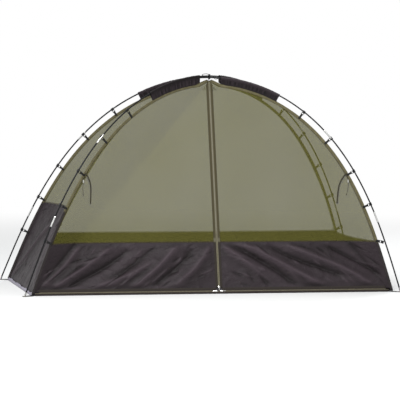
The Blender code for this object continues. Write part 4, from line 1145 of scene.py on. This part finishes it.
for name, corner_name in (("left", "front_left"), ("right", "front_right")):
    matrix = tie_frame(corner_name)
    away = (matrix.to_3x3() @ Vector((0, 0, 1))).normalized()
    thicknesses = (TIE_STRAP_THICKNESS, TOGGLE_CORD_DIAMETER)
    roots = [BINDING_HALF + TOUCH + thick / 2 - TIE_STAND_OFF for thick in thicknesses]
    levels = [[root] + [0] * 8 for root in roots]
    route = [matrix @ Vector((x, y, level)) for (x, y), level in zip(TIE_STRAP_ROUTE, levels[0])]
    route = smooth_route(route, 6)
    rows = []
    for index, here in enumerate(route):
        before, after = route[max(index - 1, 0)], route[min(index + 1, len(route) - 1)]
        across = (after - before).cross(away).normalized() * (TIE_STRAP_WIDTH / 2)
        curl = away * 0.0008
        rows.append([here + across * wide + curl * wide * wide for wide in (-1, -0.5, 0, 0.5, 1)])
    strap = cloth_piece(f"tie_strap_{name}", rows, TIE_STRAP_THICKNESS)
    webbing_finish(f"tie_strap_{name}", TIE_OLIVE, TIE_PALE).give(strap)
    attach(strap, "tent")
    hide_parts(f"door_tie_{name}")
    sewn_on[corner_name].append(strap)

    route = [matrix @ Vector((x, y, level)) for (x, y), level in zip(TOGGLE_CORD_ROUTE, levels[1])]
    route = smooth_route(route, 6)
    cord = cord_piece(f"tie_cord_{name}", route, TOGGLE_CORD_DIAMETER)
    knot = knot_piece(f"tie_knot_{name}", route[-1], TOGGLE_CORD_DIAMETER)
    for piece in (cord, knot):
        cord_finish(piece.name, TIE_OLIVE, TIE_PALE).give(piece)
        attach(piece, "tent")

    place = route[round(TOGGLE_PLACE_SHARE * (len(route) - 1))]
    bpy.ops.object.select_all(action="DESELECT")
    bpy.ops.mesh.primitive_cylinder_add(
        vertices=24, radius=TOGGLE_DIAMETER / 2, depth=TOGGLE_LENGTH, location=place
    )
    toggle = bpy.context.object
    toggle.name = toggle.data.name = f"tie_toggle_{name}"
    bpy.ops.object.transform_apply(location=True, rotation=True, scale=True)
    bpy.ops.object.mode_set(mode="EDIT")
    bpy.ops.mesh.select_mode(type="EDGE")
    choose(toggle, edges=lambda a, b: abs(a.z - b.z) > TOGGLE_LENGTH / 2)
    bpy.ops.mesh.subdivide(number_cuts=5)
    choose(toggle, edges=lambda a, b: abs(a.z - b.z) < 1e-6 and abs(a.z - place.z) < TOGGLE_LENGTH / 5)
    bpy.ops.transform.resize(value=(0.8, 0.8, 1), center_override=place)
    bpy.ops.mesh.select_mode(type="FACE")
    choose(toggle, faces=lambda middle: abs(abs(middle.z - place.z) - TOGGLE_LENGTH / 2) < 1e-6)
    bpy.ops.mesh.inset(thickness=TOGGLE_DIAMETER / 2 - TOGGLE_CORD_DIAMETER / 2 - TOUCH)
    bpy.ops.mesh.bridge_edge_loops()
    bpy.ops.object.mode_set(mode="OBJECT")
    bevel = toggle.modifiers.new("eased edges", "BEVEL")
    bevel.width = 0.0005
    bevel.segments = 2
    bpy.ops.object.modifier_apply(modifier="eased edges")
    bpy.ops.object.shade_smooth_by_angle(angle=math.radians(40))
    finish = Finish(toggle.name, 0.4)
    marks = finish.noise(500, 3).rising(0.5, 0.7)
    finish.set({"Base Color": finish.mix(marks, TOGGLE_GREY, shade(TOGGLE_GREY, 0.6))})
    finish.give(toggle)
    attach(toggle, "tent")
    length = sum((after - before).length for before, after in zip(route, route[1:]))
    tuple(route[0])


# The seam bindings: polyester tape folded over the four corner seams and stitched, olive beside the
# net and dark beside the walls.
BINDING_START = 0.007
BINDING_STOP = 0.0005
TAPE_OLIVE = (0.084, 0.074, 0.036)
TAPE_PALE = (0.150, 0.134, 0.072)
TAPE_DARK = (0.018, 0.0145, 0.0145)


def tape_finish(name):
    """Ribbed tape with stitches; it is dark where its mark is 1."""
    finish = Finish(name, 0.8)
    along = finish.cloth()[1]
    rib = along.wave(0.0011)
    stitches = along.wave(0.0035).rising(0.45, 0.6)
    wear_and_painted_shading = finish.noise(30, 3).rising(0.35, 0.75)
    olive = finish.mix(wear_and_painted_shading * 0.5 + rib * 0.15 + stitches * 0.12, TAPE_OLIVE, TAPE_PALE)
    dark = finish.mix(rib * 0.3 + wear_and_painted_shading * 0.4, TAPE_DARK, shade(TAPE_DARK, 2))
    finish.set({"Base Color": finish.mix(finish.mark("dark"), olive, dark)})
    finish.bump(rib * 0.4 + stitches * 0.3, 0.0004)
    return finish


def mark_dark(piece, level):
    """Marks the points of a tape that lie beside a wall, below a level."""
    mesh = piece.data
    heights = np.zeros(len(mesh.vertices) * 3)
    mesh.vertices.foreach_get("co", heights)
    dark = eased(level - heights[2::3], -0.004, 0.004).astype(np.float32)
    mesh.attributes.new("dark", "FLOAT", "POINT").data.foreach_set("value", dark)


def rounded_band(low, high, half):
    """The outline of a flat tape with round edges, in the plane across it."""
    ends = ((high - half, 0), (low + half, 180))
    return [
        (x + half * math.cos(math.radians(start + turn)), half * math.sin(math.radians(start + turn)))
        for x, start in ends
        for turn in (-90, -45, 0, 45, 90)
    ]


for name, corner in CORNERS.items():
    outline = rounded_band(-BINDING_INSIDE, BINDING_DEPTH - BINDING_INSIDE, BINDING_HALF)
    places = steps(BINDING_START, seam.length - BINDING_STOP, 190)
    frames = [seam.frame(corner, place) for place in places]
    binding = tube_piece(f"binding_{name}", frames, outline)
    mark_dark(binding, HIGH_WALL if corner[0] < 0 else LOW_WALL)
    tape_finish(f"binding_{name}").give(binding)
    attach(binding, "tent")
    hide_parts(f"seam_binding_{name}")


# The pole sleeves: four dark nylon tunnels near the crown, sewn into the seams and gathered a little
# on the poles.
SLEEVE_RADIUS = 0.0078
SLEEVE_THICKNESS = 0.0005
SLEEVE_SEAM_GAP = 0.012
SLEEVE_SLACK = 0.0016
SLEEVE_WRAP = math.radians(140)
SLEEVE_ROUND_SHARE = 0.36
SKIRT_HALF_GAP = 0.0018


for number, (name, corner) in enumerate(CORNERS.items()):
    arch = POLE_AT[name]
    start = arch.length - SLEEVE_CROWN_GAP - SLEEVE_LENGTH
    random = np.random.default_rng(50 + number)
    waves = [(random.uniform(120, 420), random.uniform(0, 6.3), random.uniform(0.3, 1)) for _ in range(9)]
    rows = []
    for place in steps(start, start + SLEEVE_LENGTH, 150):
        matrix = arch.frame(corner, place)
        drop = seam_gap(name, place) - SLEEVE_SEAM_GAP
        gather = sum(size * math.sin(rate * place + turn) for rate, turn, size in waves) / 4
        slow = sum(size * math.sin(rate * place * 0.6 + turn * 2) for rate, turn, size in waves) / 4
        slack = SLEEVE_SLACK * slow
        row = []
        for share in np.linspace(-1, 1, 45):
            if abs(share) < SLEEVE_ROUND_SHARE:
                turn = share / SLEEVE_ROUND_SHARE * SLEEVE_WRAP
                radius = SLEEVE_RADIUS + 0.0010 * gather * math.cos(turn)
                x, y = radius * math.cos(turn), radius * math.sin(turn)
            else:
                down = (abs(share) - SLEEVE_ROUND_SHARE) / (1 - SLEEVE_ROUND_SHARE)
                top_x, top_y = SLEEVE_RADIUS * math.cos(SLEEVE_WRAP), SLEEVE_RADIUS * math.sin(SLEEVE_WRAP)
                x = top_x + (-drop - top_x) * down
                hollow = top_y * (1 - down) ** 1.6 + SKIRT_HALF_GAP
                y = math.copysign(hollow, share) + (gather * 0.0012 + slack) * math.sin(math.pi * down)
            row.append(matrix @ Vector((x, y, 0)))
        rows.append(row)
    grid = np.array(rows)
    # Its crest mark carries the painted highlight on the gathers' crests and painted shade in their troughs.
    sleeve = cloth_piece(f"sleeve_{name}_cloth", grid, SLEEVE_THICKNESS, {"crest": crests(grid, 0.0016, 20)})
    finish = Finish(f"sleeve_{name}_cloth", 0.42)
    woven(finish, shade(WALL_BROWN, 0.7), shade(WALL_SHEEN, 0.6), creases=0.0009)
    finish.give(sleeve)
    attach(sleeve, "tent")
    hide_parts(f"sleeve_{name}")
    declare_sheet(grid)


# The zip tapes: olive tape with a nylon coil, in two halves down the front and along its foot. The
# coil and the tape's middle are paler than its sewn edges, and a stitched box covers the tape where
# the wall meets the net.
FRONT_SLIDER_HEIGHT = 0.040
SLIDER_LENGTH = 0.012
HEM_SLIDER_OFFSET = 0.016
APEX_PATCH_HEIGHT = 0.058
ZIP_STOP = 0.002
COIL_HALF = 0.0011
COIL_WIDTH = 0.0025
COIL_GAP = 0.00045
ZIP_THICKNESS = 0.0009
COIL_TAN = (0.260, 0.230, 0.150)
ZIP_EDGE = (0.052, 0.044, 0.021)
ZIP_MIDDLE = (0.160, 0.148, 0.096)
ZIP_DARK = (0.021, 0.016, 0.013)
HEM_PALE = 0.0022
zip_bottom = HEM_ZIP_HEIGHT + TAPE_OUTER + TOUCH


def upright_lane(height, across, level):
    return FRONT @ Vector((zip_x(height) + across, height, level))


def hem_lane(along, across, level):
    return FRONT @ Vector((along, HEM_ZIP_HEIGHT + across, level))


def zip_half(name, body, side, tape_ends, coil_ends, lane, pale=0.0052, width=TAPE_OUTER):
    """One half of a zip: its tape from the coil out, and the coil as a row of ridges."""
    places = steps(*tape_ends, 160)
    lanes = (0.0008, 0.003, 0.0050, 0.0058, 0.0066, 0.009, 0.0125, 0.016, TAPE_OUTER)
    lanes = [place * width / TAPE_OUTER for place in lanes]
    levels = (0, 0, 0.0001, 0.0004, 0.0006, 0.0007, 0.0008, 0.0008, 0.0006)
    grid = np.array([[lane(at, side * a, b) for a, b in zip(lanes, levels)] for at in places])
    edge = np.repeat(np.array(lanes)[None, :], len(places), axis=0)
    tape = cloth_piece(f"{name}_tape", grid, ZIP_THICKNESS, {"lane": edge})
    mark_dark(tape, LOW_WALL)
    sewn = eased(grid[..., 2], LOW_WALL + 0.002, LOW_WALL + 0.004)
    sewn = sewn * eased(-grid[..., 2], -LOW_WALL - 0.026, -LOW_WALL - 0.024)
    sewn = sewn.astype(np.float32).ravel()
    tape.data.attributes.new("patch", "FLOAT", "POINT").data.foreach_set("value", sewn)
    finish = Finish(f"{name}_tape", 0.8)
    along = finish.cloth()[1]
    beside_wall = finish.mark("dark")
    rim = finish.mark("lane").rising(pale, pale + 0.0012)
    ribs = along.wave(0.0012)
    stitches = along.wave(0.004).rising(0.5, 0.6) * finish.mark("lane").above(0.0155)
    middle = finish.mix(ribs * 0.4, shade(ZIP_MIDDLE, 0.8), ZIP_MIDDLE)
    edge = finish.mix(beside_wall, ZIP_EDGE, ZIP_DARK)
    edge = finish.mix(stitches * 0.3, edge, shade(ZIP_MIDDLE, 0.5))
    box = finish.mix(ribs * 0.3, shade(ZIP_MIDDLE, 0.6), shade(ZIP_MIDDLE, 0.9))
    finish.set({"Base Color": finish.mix(finish.mark("patch"), finish.mix(rim, middle, edge), box)})
    finish.bump(ribs * 0.5 + stitches, 0.0004)
    finish.give(tape)
    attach(tape, body)
    middle = side * (COIL_GAP + COIL_WIDTH / 2)
    frames = []
    for at in steps(*coil_ends, 120):
        here, ahead = lane(at, middle, 0), lane(at + 0.001, middle, 0)
        way = (ahead - here).normalized()
        frames.append(basis(here, outward.cross(way), outward, way))
    outline = [
        (COIL_WIDTH / 2 * math.cos(math.radians(turn)), COIL_HALF * math.sin(math.radians(turn)))
        for turn in range(0, 360, 36)
    ]
    coil = tube_piece(f"{name}_coil", frames, outline)
    finish = Finish(f"{name}_coil", 0.45)
    turns = finish.cloth()[1].wave(0.0016)
    finish.set({"Base Color": finish.mix(turns, shade(COIL_TAN, 0.45), COIL_TAN)})
    finish.bump(turns, 0.0006)
    finish.give(coil)
    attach(coil, body)
    return tape


zip_top = SLOPE - APEX_PATCH_HEIGHT - TOUCH
parked = FRONT_SLIDER_HEIGHT + SLIDER_LENGTH / 2 + 0.0005
for name, side in (("left", -1), ("right", 1)):
    body = f"door_{name}"
    tape = zip_half(
        f"zip_{name}", body, side, (zip_bottom, zip_top), (parked, zip_top - ZIP_STOP), upright_lane
    )
    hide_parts(f"zip_tape_{name}")
    outer = hinge_x(side, zip_bottom) - side * 0.005
    inner = ZIP_FOOT + side * (HEM_SLIDER_OFFSET + SLIDER_LENGTH / 2)
    end = ZIP_FOOT + side * TAPE_OUTER
    tape = zip_half(f"hem_{name}", body, 1, (outer, end), (outer, inner), hem_lane, HEM_PALE)
    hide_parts(f"hem_zip_{name}")

reach = HALF_LENGTH - 0.012
ends, width = (-reach, reach), HEM_ZIP_HEIGHT - 0.0008
zip_half("hem_floor", "tent", -1, ends, ends, hem_lane, HEM_PALE, width)


# The crown patch: doubled olive net, sewn over the top of the front where the doors' fold lines
# meet. The zip's band ends on it.
rows, lanes = [], []
for height in steps(SLOPE - APEX_PATCH_HEIGHT, SLOPE - 0.002, 24):
    left, right = hinge_x(-1, height), hinge_x(1, height)
    rows.append([FRONT @ Vector((x, height, 0.0006)) for x in steps(left, right, 80)])
    lanes.append([abs(x - zip_x(height)) for x in steps(left, right, 80)])
patch = cloth_piece("crown_patch", rows, 0.0009, {"lane": lanes})
finish = Finish("crown_patch", 0.8)
lane = finish.mark("lane")
band = 1 - lane.rising(TAPE_OUTER - 0.001, TAPE_OUTER)
ribs = finish.cloth()[1].wave(0.0012)
taped = finish.mix(lane.rising(0.0052, 0.0064), shade(ZIP_MIDDLE, 0.8), ZIP_EDGE)
finish.set({"Base Color": finish.mix(band, finish.mix(ribs * 0.3, NET_OLIVE, NET_PALE), taped)})
finish.set({"Alpha": band * 0.8 + 0.2})
finish.bump(ribs, 0.0003)
finish.give(patch)
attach(patch, "tent")
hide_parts("apex_patch")


# The crossing's tie: black elastic cord wound round both poles where they cross, and left in a bow.
# It ends in a knot.
TIE_START = ((-0.0010, -0.0045, -0.0285), (-0.0030, -0.0024, -0.0200))
TIE_TURNS = 2.54
TIE_WIND_FROM = 0.08
TIE_ROUND = (0.0044, 0.0106, 0.0140)
TIE_END = (
    (-0.0010, -0.0125, 0.0130),
    (-0.0100, -0.0145, 0.0150),
    (-0.0200, -0.0110, 0.0170),
    (-0.0310, -0.0115, 0.0165),
    (-0.0420, -0.0150, 0.0145),
    (-0.0490, -0.0235, 0.0100),
    (-0.0420, -0.0325, 0.0055),
    (-0.0300, -0.0300, 0.0035),
    (-0.0180, -0.0250, 0.0050),
    (-0.0060, -0.0215, 0.0070),
    (0.0060, -0.0195, 0.0075),
    (0.0150, -0.0190, 0.0035),
    (0.0210, -0.0205, -0.0040),
    (0.0270, -0.0225, -0.0110),
    (0.0350, -0.0245, -0.0140),
    (0.0430, -0.0265, -0.0110),
    (0.0500, -0.0285, -0.0155),
    (0.0520, -0.0295, -0.0245),
)
TIE_DIAMETER = 0.0032
wound = []
for turn in steps(TIE_WIND_FROM, TIE_TURNS, 40):
    x = TIE_ROUND[0] * (2 * (turn - TIE_WIND_FROM) / (TIE_TURNS - TIE_WIND_FROM) - 1)
    angle = turn * 2 * math.pi
    wound.append((x, TIE_ROUND[1] * math.sin(angle), -TIE_ROUND[2] * math.cos(angle)))
middle = Vector((CROWN_LEAN, 0, CROWN_HEIGHT))
route = smooth_route([middle + Vector(point) for point in (*TIE_START, *wound, *TIE_END)], 3)
tie = cord_piece("crossing_tie", route, TIE_DIAMETER)
knot = knot_piece("crossing_knot", route[-1], TIE_DIAMETER)
for piece in (tie, knot):
    cord_finish(piece.name, WEBBING_BLACK, WEBBING_GREY).give(piece)
    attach(piece, "tent")
length = sum((after - before).length for before, after in zip(route, route[1:]))
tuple(route[0])


# The hooks: black moulded nylon clips that snap over the poles, one on each clip strap. Each is its
# CAD solid with the edges rounded as a mould leaves them.
HOOK_BLACK = (0.008, 0.008, 0.009)
HOOK_SCRATCH = (0.040, 0.040, 0.041)


def moulded(node, name, width):
    """A copy of a solid with its edges eased, in place of it."""
    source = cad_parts[node]
    mesh = source.data.copy()
    piece = bpy.data.objects.new(name, mesh)
    bpy.context.scene.collection.objects.link(piece)
    bpy.ops.object.select_all(action="DESELECT")
    piece.select_set(True)
    bpy.context.view_layer.objects.active = piece
    bpy.ops.object.mode_set(mode="EDIT")
    bpy.ops.mesh.select_all(action="SELECT")
    bpy.ops.mesh.remove_doubles(threshold=1e-6)
    bpy.ops.mesh.dissolve_limited(angle_limit=math.radians(3))
    bpy.ops.object.mode_set(mode="OBJECT")
    bevel = piece.modifiers.new("eased edges", "BEVEL")
    bevel.width = width
    bevel.segments = 2
    bevel.angle_limit = math.radians(30)
    bpy.ops.object.modifier_apply(modifier="eased edges")
    bpy.ops.object.shade_smooth_by_angle(angle=math.radians(40))
    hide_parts(node)
    return piece


for name in CORNERS:
    for number in range(1, 6):
        node = f"hook_{name}_{number}"
        hook = moulded(node, f"clip_{name}_{number}", 0.0003)
        finish = Finish(f"clip_{name}_{number}", 0.4)
        scratches = finish.noise(400, 4).rising(0.5, 0.75)
        finish.set(
            {
                "Base Color": finish.mix(scratches * 0.4, HOOK_BLACK, HOOK_SCRATCH),
                "Roughness": finish.noise(150, 2) * 0.3 + 0.28,
            }
        )
        finish.give(hook)
        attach(hook, node)


# The zip sliders and their pull tabs: nickel-plated zinc castings, scratched by use. Two sliders run
# along the floor and one runs up the front.
NICKEL = (0.62, 0.61, 0.59)
WORN_NICKEL = (0.36, 0.35, 0.33)

for name in ("front", "hem_left", "hem_right"):
    for part in ("slider", "pull"):
        node = f"{name}_{part}"
        piece = moulded(node, f"{node}_metal", 0.00015)
        finish = Finish(f"{node}_metal", 0.28, 1.0)
        scratches = finish.noise(900, 4).rising(0.45, 0.7)
        finish.set(
            {
                "Base Color": finish.mix(scratches * 0.5, NICKEL, WORN_NICKEL),
                "Roughness": scratches * 0.3 + 0.2,
            }
        )
        finish.give(piece)
        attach(piece, node)


# The stand: a plain pale floor that fades into a white backdrop, a soft key light and a rim light,
# and the camera at the photograph's angle.
PHOTO_SIZE = 400
FOCAL_PIXELS = 2493.3
CAMERA_PLACE = Vector((-3.05857, -14.3909, 1.39402))

bpy.ops.object.select_all(action="DESELECT")
bpy.ops.mesh.primitive_plane_add(size=60, location=(0, 0, -0.0008))
floor = bpy.context.object
floor.name = "studio_floor"
finish = Finish("studio_floor", 0.9)
grain = finish.noise(0.6, 2)
finish.set({"Base Color": finish.mix(grain, (0.86, 0.86, 0.85), (0.88, 0.88, 0.88))})
place = finish.node("TexCoord", {}, {}, "Object")
away = finish.node("VectorMath", {"operation": "LENGTH"}, {0: place}, "Value").rising(2.2, 7.0)
path = finish.node("LightPath", {}, {}, "Is Camera Ray").socket.node
seen = Signal(finish, path.outputs["Is Camera Ray"])
for ray in ("Is Glossy Ray", "Is Transmission Ray"):
    seen = seen.larger(Signal(finish, path.outputs[ray]))
haze = finish.node("Emission", {}, {"Color": (1, 1, 1, 1), "Strength": 1.0})
surface = Signal(finish, finish.shader.outputs[0])
both = finish.node("MixShader", {}, {0: away * seen, 1: surface, 2: haze})
finish.material.node_tree.links.new(
    both.socket, finish.material.node_tree.nodes["Material Output"].inputs["Surface"]
)
finish.give(floor)

world = bpy.data.worlds.new("studio")
bpy.context.scene.world = world
world.use_nodes = True
nodes, links = world.node_tree.nodes, world.node_tree.links
fill = nodes["Background"]
fill.inputs["Color"].default_value = (0.96, 0.98, 1.0, 1)
fill.inputs["Strength"].default_value = 0.50
seen = nodes.new("ShaderNodeBackground")
seen.inputs["Color"].default_value = (1, 1, 1, 1)
seen.inputs["Strength"].default_value = 1.0
path = nodes.new("ShaderNodeLightPath")
rays = [path.outputs[key] for key in ("Is Camera Ray", "Is Glossy Ray", "Is Transmission Ray")]
total = rays[0]
for ray in rays[1:]:
    step = nodes.new("ShaderNodeMath")
    step.operation = "MAXIMUM"
    links.new(total, step.inputs[0])
    links.new(ray, step.inputs[1])
    total = step.outputs[0]
blend = nodes.new("ShaderNodeMixShader")
links.new(total, blend.inputs[0])
links.new(fill.outputs[0], blend.inputs[1])
links.new(seen.outputs[0], blend.inputs[2])
links.new(blend.outputs[0], nodes["World Output"].inputs["Surface"])

for name, place, size, power in (
    ("key_light", (-1.6, -4.4, 4.9), 2.4, 380),
    ("rim_light", (2.8, 3.4, 3.8), 2.0, 90),
):
    bpy.ops.object.light_add(type="AREA", location=place)
    lamp = bpy.context.object
    lamp.name = name
    lamp.data.size = size
    lamp.data.energy = power
    lamp.rotation_euler = (Vector((0, 0, 0.4)) - Vector(place)).to_track_quat("-Z", "Y").to_euler()

yaw, pitch, roll = 0.210469, -0.060162, 0.008307
aim = Vector((math.sin(yaw) * math.cos(pitch), math.cos(yaw) * math.cos(pitch), math.sin(pitch)))
right = Vector((math.cos(yaw), -math.sin(yaw), 0))
above = right.cross(aim)
turned_right = right * math.cos(roll) + above * math.sin(roll)
turned_up = above * math.cos(roll) - right * math.sin(roll)
camera_data = bpy.data.cameras.new("camera")
camera_data.lens = FOCAL_PIXELS / PHOTO_SIZE * camera_data.sensor_width
camera_data.clip_end = 200
camera = bpy.data.objects.new("camera", camera_data)
camera.matrix_world = basis(CAMERA_PLACE, turned_right, turned_up, -aim)
bpy.context.scene.collection.objects.link(camera)
bpy.context.scene.camera = camera
bpy.context.scene.view_settings.view_transform = "Standard"
